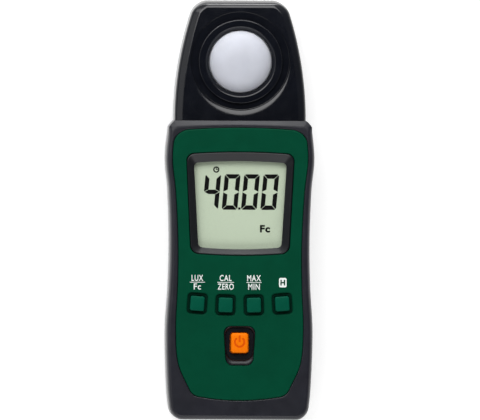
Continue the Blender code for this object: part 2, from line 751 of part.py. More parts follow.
def make_rear_shell():
    rings = []
    for inset, drop in reversed(quarter_round(BACK_ROUND, BACK_ROUND)):
        rings.append(level_ring(case_outline(inset), drop))
    rings.append(level_ring(case_outline(0), PART_LINE))
    rings.append(level_ring(case_outline(RUBBER), PART_LINE))
    rings.append(level_ring(case_outline(RUBBER), BACK_ROUND))
    rings.append(level_ring(case_outline(BACK_ROUND), SHELL_WALL))
    shell = loft("rear_shell", rings)
    low = BOTTOM_Y + RUBBER - FIT
    base_top = DOOR_LOW + DOOR_THICKNESS + FIT + BAY_WALL
    base_high_y = DOOR_TOP + FIT + BAY_WALL
    half_floor = SHELL_WALL / 2
    base_half = GROOVE_HALF + BAY_WALL
    base = block(
        "bay_base",
        (2 * base_half, base_high_y - low, base_top - half_floor),
        (0, (base_high_y + low) / 2, (base_top + half_floor) / 2),
    )
    bay_half = BAY_HALF + BAY_WALL
    bay_low, bay_high = BAY_BOTTOM - BAY_WALL, BAY_TOP + BAY_WALL
    box = block(
        "bay_box",
        (2 * bay_half, bay_high - bay_low, BAY_ROOF - half_floor),
        (0, (bay_high + bay_low) / 2, (BAY_ROOF + half_floor) / 2),
    )
    join(shell, base, box)
    for number, place in enumerate(case_screw_places(), 1):
        shelf = CASE_SCREW_SEAT + BOSS_WALL
        foot = drum(f"rear_boss_foot_{number}", COUNTERBORE + BOSS_WALL, half_floor, shelf, place)
        post = drum(f"rear_boss_{number}", BOSS_RADIUS, half_floor, TONGUE_LOW - FIT, place)
        bore = drum(f"rear_bore_{number}", SCREW_BORE, -REACH, PART_LINE + REACH, place)
        head = drum(f"rear_counterbore_{number}", COUNTERBORE, -REACH, CASE_SCREW_SEAT, place)
        join(shell, foot, post)
        cut(shell, head, bore)
    bay_floor = DOOR_LOW
    cavity = block(
        "bay_cavity",
        (2 * BAY_HALF, BAY_LENGTH, BAY_CEILING - bay_floor),
        (0, (BAY_TOP + BAY_BOTTOM) / 2, (BAY_CEILING + bay_floor) / 2),
    )
    recess = bar("door_recess", door_section(FIT), BOTTOM_Y - REACH, DOOR_TOP + FIT)
    cut(shell, recess, cavity)
    finish(shell, BLACK_PLASTIC)


def make_front_shell():
    rings = [
        level_ring(face_outline(SHELL_WALL), FACE_LOW),
        level_ring(face_outline(SHELL_WALL), LEDGE - SHELL_WALL),
        level_ring(body_outline(SKIRT_INNER), LEDGE - SHELL_WALL),
        level_ring(body_outline(SKIRT_INNER), TONGUE_LOW),
        level_ring(body_outline(SKIRT), TONGUE_LOW),
        level_ring(body_outline(SKIRT), LEDGE),
        level_ring(face_outline(0), LEDGE),
        level_ring(face_outline(0), FACE - FACE_EDGE),
        level_ring(face_outline(FACE_EDGE), FACE),
    ]
    shell = loft("front_shell", rings)
    for number, place in enumerate(case_screw_places()[:2], 1):
        boss = drum(f"front_boss_{number}", BOSS_RADIUS, TONGUE_LOW, LEDGE - SHELL_WALL + OVERLAP, place)
        pilot = drum(f"front_pilot_{number}", SCREW_BORE, CASE_SCREW_SEAT, CASE_SCREW_TIP + FIT, place)
        join(shell, boss)
        cut(shell, pilot)
    for number, place in enumerate(board_screw_places(), 1):
        low, high = BOARD_TOP + FIT, FACE_LOW + OVERLAP
        post = drum(f"board_post_{number}", BOARD_POST_RADIUS, low, high, place, SMALL_SIDES)
        pilot_top = BOARD_LOW + SMALL_SCREW_LENGTH
        pilot = drum(f"board_pilot_{number}", SMALL_BORE, BOARD_LOW, pilot_top, place, SMALL_SIDES)
        join(shell, post)
        cut(shell, pilot)
    opening = prism("bezel_opening", bezel_outline(FIT), LEDGE - REACH, FACE + REACH)
    cut(shell, opening)
    for name, place, turn in key_places():
        wide, tall = KEY_WIDTH + 2 * KEY_WELL_MARGIN, KEY_HEIGHT + 2 * KEY_WELL_MARGIN
        well = rounded_rectangle(wide, tall, KEY_CORNER + KEY_WELL_MARGIN / 2)
        hole = rounded_rectangle(KEY_WIDTH + 2 * FIT, KEY_HEIGHT + 2 * FIT, KEY_CORNER + FIT)
        spot = (*place, 0)
        cut(shell, prism(f"well_{name}", well, FACE - KEY_WELL_DEPTH, FACE + REACH, spot, turn))
        cut(shell, prism(f"hole_{name}", hole, FACE_LOW - OVERLAP, FACE + REACH, spot, turn))
    well = rounded_rectangle(
        POWER_WELL_WIDTH + 2 * FIT, POWER_WELL_HEIGHT + 2 * FIT, POWER_WELL_CORNER + FIT
    )
    spot = (0, POWER_Y - POWER_WELL_OFFSET, 0)
    cut(shell, prism("well_power", well, FACE_LOW - OVERLAP, FACE + REACH, spot))
    finish(shell, GREEN_PLASTIC)


def make_grip():
    rings = [level_ring(body_outline(0), FRONT_LOW)]
    for inset, drop in quarter_round(RIM_ROUND_WIDTH, RIM_ROUND_HEIGHT, ROUND_STEPS + 1):
        crown = SHOULDER_CROWN * inset / RIM_ROUND_WIDTH
        rings.append(level_ring(body_outline(inset, crown), RIM_LEVEL - drop))
    rings.append(level_ring(face_outline(-FIT), RIM_LEVEL))
    rings.append(level_ring(face_outline(-FIT), LEDGE + FIT))
    rings.append(level_ring(body_outline(RUBBER), LEDGE + FIT))
    rings.append(level_ring(body_outline(RUBBER), FRONT_LOW))
    finish(loft("grip_overmould", rings, loop=True), BLACK_RUBBER)


def head_face(y):
    return HEAD_FACE_AT_SHOULDER - HEAD_SLOPE * (y - SHOULDER_Y)


def make_head_cover():
    wall = SKIRT + TONGUE_WALL
    rings = [
        level_ring(head_outline(wall + HEAD_DRAFT, wall + HEAD_DRAFT), HEAD_CEILING),
        level_ring(head_outline(wall, wall), (FRONT_LOW + HEAD_CEILING) / 2),
        level_ring(head_outline(wall, wall), TONGUE_LOW),
        level_ring(head_outline(SKIRT, SKIRT), TONGUE_LOW),
        level_ring(head_outline(SKIRT, SKIRT), FRONT_LOW),
        level_ring(head_outline(0, 0), FRONT_LOW),
    ]
    for inset, drop in ((HEAD_DRAFT, HEAD_BEVEL_HEIGHT), (HEAD_DRAFT + HEAD_BEVEL_WIDTH, 0)):
        outline = head_outline(inset, inset * HEAD_TOP_SHARE)
        rings.append([(x, y, head_face(y) - drop) for x, y in outline])
    cover = loft("head_cover", rings)
    end = SHOULDER_Y + FIT
    below = REACH * 2
    cut(cover, block("head_end", (4 * HEAD_HALF, below, 8 * REACH), (0, end - below / 2, PART_LINE)))
    centre = (0, SENSOR_Y)
    dish_top = DISH_FLOOR + REACH
    cut(cover, drum("dish", DISH_RADIUS, DISH_FLOOR, dish_top, centre, DISH_SIDES, DISH_RADIUS + REACH))
    hole = DOME_RADIUS + COLLAR_CREST
    cut(cover, drum("sensor_hole", hole, HEAD_CEILING - REACH, DISH_FLOOR + REACH, centre, DISH_SIDES))
    for number, place in enumerate(case_screw_places()[2:], 1):
        boss = drum(f"head_boss_{number}", BOSS_RADIUS, TONGUE_LOW, HEAD_CEILING + OVERLAP, place)
        pilot = drum(f"head_pilot_{number}", SCREW_BORE, CASE_SCREW_SEAT, CASE_SCREW_TIP + FIT, place)
        join(cover, boss)
        cut(cover, pilot)
    for number, place in enumerate(sensor_screw_places(), 1):
        low = SENSOR_BOARD_TOP + FIT
        post_top = HEAD_CEILING + OVERLAP
        post = drum(f"sensor_post_{number}", SENSOR_POST_RADIUS, low, post_top, place, SMALL_SIDES)
        pilot_top = sensor_screw_seat() + SMALL_SCREW_LENGTH - FIT
        pilot = drum(f"sensor_pilot_{number}", SMALL_BORE, SENSOR_BOARD_TOP, pilot_top, place, SMALL_SIDES)
        join(cover, post)
        cut(cover, pilot)
    finish(cover, BLACK_PLASTIC)


def make_battery_door():
    low = BOTTOM_Y + DOOR_END_INSET
    door = bar("battery_door", door_section(0), low, DOOR_TOP)
    for ridge in range(DOOR_RIDGES):
        y = low + (ridge + 2) * DOOR_RIDGE_PITCH
        size = (DOOR_RIDGE_LENGTH, DOOR_RIDGE_PITCH / 2, 2 * DOOR_RIDGE_DEPTH)
        cut(door, block(f"door_ridge_{ridge}", size, (0, y, DOOR_LOW)))
    finish(door, BLACK_PLASTIC, smooth=False)


# Light sensor

def sensor_screw_places():
    x = SENSOR_POST_X * math.cos(SENSOR_SCREW_TURN)
    y = SENSOR_POST_X * math.sin(SENSOR_SCREW_TURN)
    return [(x, SENSOR_Y + y), (-x, SENSOR_Y - y)]


def sensor_screw_seat():
    return SENSOR_BOARD_TOP - BOARD_THICKNESS - FIT


def make_sensor():
    centre = (0, SENSOR_Y, 0)
    skirt_outer = DOME_RADIUS + COLLAR_CREST - FIT
    skirt_inner = DOME_RADIUS + COLLAR_GROOVE
    lip = DOME_RADIUS + FIT
    seat = DISH_FLOOR + FIT
    crest = seat + COLLAR_HEIGHT
    flange_top = DISH_FLOOR - SHELL_WALL / 2
    collar_profile = [
        (DOME_RADIUS + COLLAR_CREST, crest),
        (DOME_RADIUS + (COLLAR_CREST + COLLAR_WIDTH) / 2, crest - COLLAR_ROUND),
        (DOME_RADIUS + COLLAR_WIDTH, seat + COLLAR_SIDE),
        (DOME_RADIUS + COLLAR_WIDTH, seat),
        (skirt_outer, seat),
        (skirt_outer, flange_top - DOME_WALL),
        (skirt_inner, flange_top - DOME_WALL),
        (skirt_inner, flange_top + FIT),
        (lip, flange_top + FIT),
        (lip, seat + COLLAR_ROUND),
        (DOME_RADIUS + COLLAR_GROOVE, seat + COLLAR_SIDE),
        (DOME_RADIUS + (COLLAR_CREST + COLLAR_GROOVE) / 2, crest - COLLAR_ROUND),
    ]
    finish(turned("sensor_collar", collar_profile, centre, DOME_SIDES), BLACK_PLASTIC)
    dome_base = seat + COLLAR_ROUND
    flange = skirt_inner - FIT
    outer = dome_arc(DOME_RADIUS, DOME_HEIGHT, dome_base)
    inner_radius = DOME_RADIUS - DOME_WALL
    inner = dome_arc(inner_radius, DOME_HEIGHT - DOME_WALL / 2, dome_base - DOME_WALL / 2)
    flange_low = flange_top - DOME_WALL / 2
    dome_profile = outer + [
        (DOME_RADIUS, flange_top),
        (flange, flange_top),
        (flange, flange_low),
        (inner_radius, flange_low),
    ] + list(reversed(inner))
    finish(turned("sensor_dome", dome_profile, centre, DOME_SIDES), OPAL)
    make_sensor_cup(centre, flange - FIT, flange_low - FIT)
    make_sensor_board()


def dome_arc(radius, height, base):
    """A shallow dome's profile, from its top to its edge."""
    sphere = (radius ** 2 + height ** 2) / (2 * height)
    spread = math.asin(radius / sphere)
    points = []
    for step in range(DOME_STEPS + 1):
        angle = spread * step / DOME_STEPS
        points.append((sphere * math.sin(angle), base + height - sphere * (1 - math.cos(angle))))
    return points


def make_sensor_cup(centre, radius, rim_top):
    low = SENSOR_BOARD_TOP + FIT
    filter_bore = FILTER_RADIUS + FIT
    pocket = PHOTODIODE_SIZE / math.sqrt(2) + FIT
    pocket_top = low + PHOTODIODE_HEIGHT + 2 * FIT
    shelf = pocket_top + CUP_SHELF
    top = shelf + FILTER_THICKNESS + 2 * FIT
    aperture = PHOTODIODE_SIZE / 2
    tower = filter_bore + SHELL_WALL / 2
    profile = [
        (tower, top),
        (tower, rim_top),
        (radius, rim_top),
        (radius, low),
        (pocket, low),
        (pocket, pocket_top),
        (aperture, pocket_top),
        (aperture, shelf),
        (filter_bore, shelf),
        (filter_bore, top),
    ]
    finish(turned("sensor_cup", profile, centre, CUP_SIDES), BLACK_PLASTIC)
    seat = shelf + FIT
    glass = drum("colour_filter", FILTER_RADIUS, seat, seat + FILTER_THICKNESS, centre[:2], CUP_SIDES)
    finish(glass, FILTER_GREEN)
    size = (PHOTODIODE_SIZE, PHOTODIODE_SIZE, PHOTODIODE_HEIGHT)
    diode = block("photodiode", size, (0, SENSOR_Y, low + PHOTODIODE_HEIGHT / 2))
    finish(diode, DARK, smooth=False)


def make_sensor_board():
    low = SENSOR_BOARD_TOP - BOARD_THICKNESS
    radius = DOME_RADIUS + COLLAR_CREST
    board = drum("sensor_board", radius, low, SENSOR_BOARD_TOP, (0, SENSOR_Y), DOME_SIDES)
    ear = SENSOR_POST_RADIUS
    size = (2 * (SENSOR_POST_X + ear), 2 * ear, BOARD_THICKNESS)
    middle = (0, SENSOR_Y, low + BOARD_THICKNESS / 2)
    ears = block("sensor_board_ears", size, middle, SENSOR_SCREW_TURN)
    join(board, ears)
    for number, place in enumerate(sensor_screw_places(), 1):
        hole = drum(f"sensor_hole_{number}", SMALL_BORE, low - REACH, FACE, place, SMALL_SIDES)
        cut(board, hole)
        make_small_screw(f"sensor_board_screw_{number}", place, sensor_screw_seat())
    finish(board, BOARD_GREEN, smooth=False)


def make_sensor_cable():
    """From under the sensor board, below the shoulder's wall, up to the main board."""
    diameter = 2 * CABLE_RADIUS
    start_y = SENSOR_Y - DOME_RADIUS + diameter
    start_z = SENSOR_BOARD_TOP - BOARD_THICKNESS - FIT
    end_y = WINDOW_TOP_Y + diameter
    end_z = BOARD_LOW - FIT
    low_z = PART_LINE / 2
    route = [
        Vector((0, start_y, start_z - diameter)),
        Vector((0, SHOULDER_Y + diameter, low_z)),
        Vector((0, SHOULDER_Y - 3 * diameter, low_z)),
        Vector((0, end_y, end_z - diameter)),
    ]
    path = [(0, start_y, start_z)] + smooth_path(route, PATH_STEPS) + [(0, end_y, end_z)]
    finish(tube("sensor_cable", path, CABLE_RADIUS), DARK)


def smooth_path(route, steps):
    """Points on a smooth curve through the route's points."""
    points = [route[0]]
    last = len(route) - 1
    for i in range(last):
        before, a, b, after = route[max(i - 1, 0)], route[i], route[i + 1], route[min(i + 2, last)]
        for step in range(1, steps + 1):
            t = step / steps
            lead = (b - before) * t + (before * 2 - a * 5 + b * 4 - after) * t ** 2
            points.append((a * 2 + lead + (a * 3 - before - b * 3 + after) * t ** 3) / 2)
    return points


# Display

def make_display():
    lip_low = FACE - BEZEL_DEPTH - BEZEL_LIP
    flange_top = FACE_LOW - FIT
    flange_low = flange_top - BEZEL_FLANGE
    pocket = WINDOW_FLANGE + FIT
    rings = [
        level_ring(bezel_outline(BEZEL_FLANGE), flange_low),
        level_ring(bezel_outline(BEZEL_FLANGE), flange_top),
        level_ring(bezel_outline(0), flange_top),
        level_ring(bezel_outline(0), FACE),
        level_ring(even_display_outline(0), FACE - BEZEL_DEPTH),
        level_ring(even_display_outline(0), lip_low),
        level_ring(even_display_outline(pocket), lip_low),
        level_ring(even_display_outline(pocket), flange_low),
    ]
    finish(loft("lcd_bezel", rings, loop=True), DARK)
    window_top = lip_low - FIT
    window_low = window_top - WINDOW_THICKNESS
    outline = even_display_outline(WINDOW_FLANGE)
    finish(prism("lcd_window", outline, window_low, window_top), CLEAR)
    lcd_top = min(window_low, flange_low) - FIT
    lcd_low = lcd_top - LCD_THICKNESS
    width = WINDOW_TOP_WIDTH + WINDOW_FLANGE
    height = WINDOW_HEIGHT + 2 * WINDOW_FLANGE
    centre_y = (WINDOW_TOP_Y + WINDOW_BOTTOM_Y) / 2
    panel = block("lcd_panel", (width, height, LCD_THICKNESS), (0, centre_y, (lcd_top + lcd_low) / 2))
    finish(panel, GREY_DISPLAY, smooth=False)
    make_lcd_holder(width, height, centre_y, lcd_top)
    strip_low = BOARD_TOP + FIT
    strip_top = lcd_low - FIT
    for name, side in (("upper", 1), ("lower", -1)):
        y = centre_y + side * (height - ZEBRA_WIDTH) / 2
        size = (width, ZEBRA_WIDTH, strip_top - strip_low)
        strip = block(f"zebra_strip_{name}", size, (0, y, (strip_top + strip_low) / 2))
        finish(strip, DARK, smooth=False)


def make_lcd_holder(width, height, centre_y, top):
    low = BOARD_TOP + FIT
    grow = 2 * (FIT + HOLDER_WALL)
    centre = (0, centre_y, (top + low) / 2)
    holder = block("lcd_holder", (width + grow, height + grow, top - low), centre)
    cut(holder, block("lcd_holder_hole", (width + 2 * FIT, height + 2 * FIT, 2 * REACH), centre))
    finish(holder, OPAL, smooth=False)


# Main board

def board_half():
    """Half the board's width: just past the display's holder, clear of the front shell."""
    top = SHOULDER_Y - SHOULDER_DROP
    side = edge_points(body_edge, SKIRT_INNER, top, BOTTOM_Y + FOOT_RADIUS, SIDE_STEPS)
    return min(HOLDER_HALF + FIT, *(x - FIT for x, y in side))


def board_screw_places():
    low_y = (WINDOW_BOTTOM_Y - BEZEL_BOTTOM_MARGIN + KEY_ROW_Y + KEY_HEIGHT) / 2
    low_x = board_half() - SMALL_SCREW_HEAD_RADIUS - FIT
    high_x = WINDOW_TOP_WIDTH / 2 - SMALL_SCREW_HEAD_RADIUS
    return [(-low_x, low_y), (low_x, low_y), (-high_x, UPPER_POST_Y), (high_x, UPPER_POST_Y)]


def make_main_board():
    low_y = BOTTOM_Y + SKIRT_INNER + BOARD_END_GAP
    high_y = SHOULDER_Y - SKIRT_INNER - BOARD_END_GAP
    size = (2 * board_half(), high_y - low_y, BOARD_THICKNESS)
    board = block("main_board", size, (0, (low_y + high_y) / 2, (BOARD_LOW + BOARD_TOP) / 2))
    for number, (x, y) in enumerate(case_screw_places()[:2], 1):
        boss = BOSS_RADIUS + FIT
        reach = math.copysign(board_half() + REACH, x)
        inner = x - math.copysign(boss, x)
        notch_high = y + boss
        notch = block(
            f"board_notch_{number}",
            (abs(reach - inner), notch_high - low_y + REACH, 4 * BOARD_THICKNESS),
            ((reach + inner) / 2, (notch_high + low_y - REACH) / 2, BOARD_LOW),
        )
        cut(board, notch)
    for number, place in enumerate(board_screw_places(), 1):
        hole = drum(f"board_hole_{number}", SMALL_BORE, BOARD_LOW - REACH, FACE, place, SMALL_SIDES)
        cut(board, hole)
        make_small_screw(f"board_screw_{number}", place, BOARD_LOW - FIT)
    finish(board, BOARD_GREEN, smooth=False)
    make_chips()


def make_chips():
    """The processor on one side of the middle, the crystal and the amplifier on the other."""
    top_y = WINDOW_TOP_Y - CHIP_GAP
    crystal_x = -(CHIP_GAP + CRYSTAL_WIDTH) / 2
    amplifier_x = crystal_x - CRYSTAL_WIDTH / 2 - CHIP_GAP - AMPLIFIER_WIDTH / 2
    processor_x = (CHIP_GAP + PROCESSOR_SIZE) / 2
    chips = [
        ("processor_chip", processor_x, PROCESSOR_SIZE, PROCESSOR_SIZE, PROCESSOR_THICKNESS, DARK),
        ("amplifier_chip", amplifier_x, AMPLIFIER_WIDTH, AMPLIFIER_LENGTH, AMPLIFIER_THICKNESS, DARK),
        ("crystal", crystal_x, CRYSTAL_WIDTH, CRYSTAL_LENGTH, CRYSTAL_THICKNESS, STEEL),
    ]
    for name, x, width, length, thickness, look in chips:
        centre = (x, top_y - length / 2, BOARD_LOW - FIT - thickness / 2)
        finish(block(name, (width, length, thickness), centre), look, smooth=False)


# Keys and switches

def key_places():
    """Name, place and turn of each square key, on a row that curves up at its ends."""
    places = []
    for index, name in enumerate(KEY_NAMES):
        x = index * KEY_PITCH - END_KEY_X
        turn = math.asin(x / KEY_ROW_RADIUS)
        y = KEY_ROW_Y + KEY_ROW_RADIUS * (1 - math.cos(turn))
        places.append((name, (x, y), turn))
    return places


def key_solid(name, width, height, corner, top, place, turn):
    """A cap with a rounded top edge, on a flange that keeps it behind the face."""
    wide, tall = width + 2 * KEY_FLANGE_MARGIN, height + 2 * KEY_FLANGE_MARGIN
    flange = rounded_rectangle(wide, tall, corner)
    cap = rounded_rectangle(width, height, corner)
    crown = rounded_rectangle(width - 2 * KEY_EDGE, height - 2 * KEY_EDGE, corner)
    flange_top = KEY_LOW + KEY_FLANGE
    rings = [
        level_ring(flange, 0),
        level_ring(flange, flange_top - KEY_LOW),
        level_ring(cap, flange_top - KEY_LOW),
        level_ring(cap, top - KEY_EDGE - KEY_LOW),
        level_ring(crown, top - KEY_LOW),
    ]
    return loft(f"key_{name}", rings, location=(*place, KEY_LOW), turn=turn)


def make_switch(name, key, place, turn):
    """The push switch under a key, and the plunger that goes down with the key."""
    size = (SWITCH_WIDTH, SWITCH_WIDTH, SWITCH_HEIGHT)
    body = block(f"switch_{name}", size, (*place, (SWITCH_LOW + SWITCH_TOP) / 2), turn)
    plunger_low = PLUNGER_TOP - PLUNGER_LENGTH
    floor = plunger_low - PLUNGER_RISE - FIT
    cut(body, drum(f"plunger_bore_{name}", PLUNGER_RADIUS + FIT, floor, FACE, place, SMALL_SIDES))
    finish(body, DARK, smooth=False)
    plunger = drum(f"plunger_{name}", PLUNGER_RADIUS, plunger_low, PLUNGER_TOP, (0, 0), SMALL_SIDES)
    plunger.location = (0, 0, PLUNGER_TOP - PLUNGER_LENGTH / 2 - KEY_LOW)
    finish(plunger, DARK, parent=key)


def make_keys():
    for name, place, turn in key_places():
        key = key_solid(name, KEY_WIDTH, KEY_HEIGHT, KEY_CORNER, KEY_TOP, place, turn)
        finish(key, GREEN_KEY)
        make_switch(name, key, place, turn)
    place = (0, POWER_Y)
    power = key_solid("power", POWER_WIDTH, POWER_HEIGHT, POWER_CORNER, KEY_TOP, place, 0)
    finish(power, ORANGE_KEY)
    make_switch("power", power, place, 0)
    make_power_bezel()


def make_power_bezel():
    """The dark lining of the power key's well, with a floor that the key passes through."""
    bezel = prism(
        "power_key_bezel",
        rounded_rectangle(POWER_WELL_WIDTH, POWER_WELL_HEIGHT, POWER_WELL_CORNER),
        FACE_LOW,
        FACE,
        (0, POWER_Y - POWER_WELL_OFFSET, 0),
    )
    rim = SHELL_WALL / 3
    well = rounded_rectangle(
        POWER_WELL_WIDTH - 2 * rim, POWER_WELL_HEIGHT - 2 * rim, POWER_WELL_CORNER - rim
    )
    spot = (0, POWER_Y - POWER_WELL_OFFSET, 0)
    hole = rounded_rectangle(POWER_WIDTH + 2 * FIT, POWER_HEIGHT + 2 * FIT, POWER_CORNER + FIT)
    cut(bezel, prism("power_well", well, FACE - POWER_WELL_DEPTH, FACE + REACH, spot))
    cut(bezel, prism("power_hole", hole, FACE_LOW - REACH, FACE + REACH, (0, POWER_Y, 0)))
    finish(bezel, DARK)


# Batteries and contacts

def make_batteries():
    """One cell points up and one down, so that they join in series across the link."""
    plate_gap = CONTACT_THICKNESS + 2 * FIT
    left_low = BAY_BOTTOM + plate_gap + SPRING_LENGTH + FIT
    right_high = BAY_TOP - plate_gap - SPRING_LENGTH - FIT
    make_cell("battery_left", -CELL_X, left_low, 1)
    make_cell("battery_right", CELL_X, right_high, -1)
    make_contact("positive_contact", -CELL_X, BAY_TOP - FIT - CONTACT_THICKNESS / 2, CONTACT_WIDTH)
    make_contact("negative_contact", CELL_X, BAY_TOP - FIT - CONTACT_THICKNESS / 2, CONTACT_WIDTH)
    make_contact("link_contact", 0, BAY_BOTTOM + FIT + CONTACT_THICKNESS / 2, 2 * CELL_X + CONTACT_WIDTH)
    make_spring("link_spring", -CELL_X, BAY_BOTTOM + plate_gap, 1)
    make_spring("negative_spring", CELL_X, BAY_TOP - plate_gap, -1)


def make_cell(name, x, flat_end, direction):
    """A cell from its flat end, with the nub at the other end."""
    radius = CELL_DIAMETER / 2
    edge = CELL_GAP
    shoulder = CELL_LENGTH - CELL_NUB_LENGTH
    profile = [
        (0, CELL_LENGTH),
        (CELL_NUB_RADIUS, CELL_LENGTH),
        (CELL_NUB_RADIUS, shoulder),
        (radius - edge, shoulder),
        (radius, shoulder - edge),
        (radius, edge),
        (radius - edge, 0),
        (0, 0),
    ]
    cell = turned(name, profile, (x, flat_end, CELL_LEVEL), CELL_SIDES)
    cell.rotation_euler = (-math.pi / 2 * direction, 0, 0)
    finish(cell, CELL_SLEEVE)


def make_contact(name, x, y, width):
    height = CONTACT_WIDTH
    plate = block(name, (width, CONTACT_THICKNESS, height), (x, y, CELL_LEVEL))
    finish(plate, STEEL, smooth=False)


def make_spring(name, x, base_y, direction):
    """A tapering coil that presses on a cell's flat end."""
    count = int(SPRING_TURNS * SPRING_POINTS_PER_TURN)
    lift = SPRING_LENGTH - SPRING_WIRE
    points = []
    for index in range(count + 1):
        share = index / count
        angle = 2 * math.pi * SPRING_TURNS * share
        radius = SPRING_RADIUS + (SPRING_TIP_RADIUS - SPRING_RADIUS) * share
        y = base_y + direction * (SPRING_WIRE / 2 + lift * share)
        points.append((x + radius * math.cos(angle), y, CELL_LEVEL + radius * math.sin(angle)))
    print(name, "least gap between turns:", round(least_gap(points) * 1000, 2), "mm")
    finish(tube(name, points, SPRING_WIRE / 2, 1), STEEL)


def least_gap(points):
    """Least clear distance between points half a turn or more apart on the wire."""
    apart = SPRING_POINTS_PER_TURN // 2
    gaps = []
    for i, first in enumerate(points):
        for second in points[i + apart:]:
            gaps.append((Vector(first) - Vector(second)).length - SPRING_WIRE)
    return min(gaps)


# Fasteners

def make_small_screw(name, place, seat):
    """A board screw, with its head below seat and its shank above."""
    profile = [
        (0, SMALL_SCREW_LENGTH - FIT),
        (SMALL_SCREW_RADIUS, SMALL_SCREW_LENGTH - 2 * FIT),
        (SMALL_SCREW_RADIUS, 0),
        (SMALL_SCREW_HEAD_RADIUS, 0),
        (SMALL_SCREW_CROWN_RADIUS, -SMALL_SCREW_HEAD_HEIGHT),
        (0, -SMALL_SCREW_HEAD_HEIGHT),
    ]
    finish(turned(name, profile, (*place, seat - FIT), SMALL_SIDES), STEEL)


def make_case_screws():
    for number, place in enumerate(case_screw_places(), 1):
        profile = [
            (0, CASE_SCREW_LENGTH - FIT),
            (CASE_SCREW_TIP_RADIUS, CASE_SCREW_LENGTH - FIT),
            (CASE_SCREW_RADIUS, CASE_SCREW_LENGTH - CASE_SCREW_RADIUS),
            (CASE_SCREW_RADIUS, 0),
            (CASE_SCREW_HEAD_RADIUS, 0),
            (CASE_SCREW_HEAD_RADIUS, -CASE_SCREW_HEAD_HEIGHT / 2),
            (CASE_SCREW_CROWN_RADIUS, -CASE_SCREW_HEAD_HEIGHT),
            (0, -CASE_SCREW_HEAD_HEIGHT),
        ]
        seat = CASE_SCREW_SEAT - FIT
        screw = turned(f"case_screw_{number}", profile, (*place, seat), SMALL_SIDES)
        for axis in (0, 1):
            size = [SCREW_CROSS_WIDTH, SCREW_CROSS_WIDTH, CASE_SCREW_HEAD_HEIGHT]
            size[axis] = SCREW_CROSS_LENGTH
            slot = block(f"screw_slot_{number}_{axis}", size, (*place, seat - CASE_SCREW_HEAD_HEIGHT))
            cut(screw, slot)
        finish(screw, STEEL)


def make_light_meter():
    make_rear_shell()
    make_front_shell()
    make_grip()
    make_head_cover()
    make_battery_door()
    make_sensor()
    make_sensor_cable()
    make_display()
    make_main_board()
    make_keys()
    make_batteries()
    make_case_screws()


make_light_meter()
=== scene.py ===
"""Looks of the pocket light meter: finer surfaces, finishes, legends, light and camera.

All sizes are in metres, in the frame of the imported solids: X across, Y to the head, Z out of the face.
"""

import json
import math
from functools import partial

import bmesh
import bpy
from mathutils import Matrix, Vector

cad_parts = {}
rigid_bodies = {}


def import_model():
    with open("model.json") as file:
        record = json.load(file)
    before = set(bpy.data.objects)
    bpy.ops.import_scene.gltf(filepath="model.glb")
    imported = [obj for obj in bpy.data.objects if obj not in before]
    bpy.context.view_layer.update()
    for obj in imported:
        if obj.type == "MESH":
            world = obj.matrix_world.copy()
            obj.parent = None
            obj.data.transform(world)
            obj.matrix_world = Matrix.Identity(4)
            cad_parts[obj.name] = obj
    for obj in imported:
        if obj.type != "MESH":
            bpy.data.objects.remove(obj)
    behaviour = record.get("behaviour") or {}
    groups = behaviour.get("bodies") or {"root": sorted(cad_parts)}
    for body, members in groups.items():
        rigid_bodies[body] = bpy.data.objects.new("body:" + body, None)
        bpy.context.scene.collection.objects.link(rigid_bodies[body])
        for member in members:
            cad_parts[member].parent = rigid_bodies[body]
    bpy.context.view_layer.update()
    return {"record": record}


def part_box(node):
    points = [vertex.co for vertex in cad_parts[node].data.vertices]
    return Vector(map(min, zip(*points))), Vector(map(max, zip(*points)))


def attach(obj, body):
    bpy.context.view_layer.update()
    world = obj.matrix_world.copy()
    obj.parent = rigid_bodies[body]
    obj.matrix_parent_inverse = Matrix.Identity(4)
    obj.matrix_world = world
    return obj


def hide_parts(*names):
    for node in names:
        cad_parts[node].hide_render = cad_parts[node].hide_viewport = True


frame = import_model()
SCENE = bpy.context.scene


def low(node):
    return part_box(node)[0]


def high(node):
    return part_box(node)[1]


def middle(node):
    return (low(node) + high(node)) / 2


# Levels and places read from the frame
FACE = high("front_shell").z
FACE_LOW = low("power_key_bezel").z
RIM_LEVEL = high("grip_overmould").z
FRONT_LOW = low("grip_overmould").z
TONGUE_LOW = low("front_shell").z
DISPLAY_TOP = high("lcd_panel").z
BAY_ROOF = high("rear_shell").z
BOTTOM_Y = low("rear_shell").y
TOP_Y = high("rear_shell").y
SHOULDER_Y = high("grip_overmould").y
SENSOR_Y = middle("sensor_dome").y

# Clearance between neighbours, and how far a cutter runs past what it cuts
FIT = 0.0003
OVERLAP = 0.0004
REACH = 0.0060
PART_LINE = FRONT_LOW - FIT

# Body outline, seen from the front: swells are added to the waist's half width
WAIST_HALF = 0.0222
WAIST_DROP = 0.0388
HEAD_HALF = 0.0210
SHOULDER_STEP = 0.0017
SHOULDER_PULL = SHOULDER_STEP / 4
SHOULDER_DROP = 0.0020
UPPER_BULGE_SWELL = 0.0014
UPPER_BULGE_DROP = 0.0121
UPPER_FLANK_SWELL = 0.0005
UPPER_FLANK_DROP = 0.0223
HIP_SWELL = 0.0003
HIP_HEIGHT = 0.0422
LOWER_BULGE_SWELL = 0.0011
LOWER_BULGE_HEIGHT = 0.0280
HEEL_SWELL = 0.0005
HEEL_HEIGHT = 0.0092
FOOT_RADIUS = 0.0042

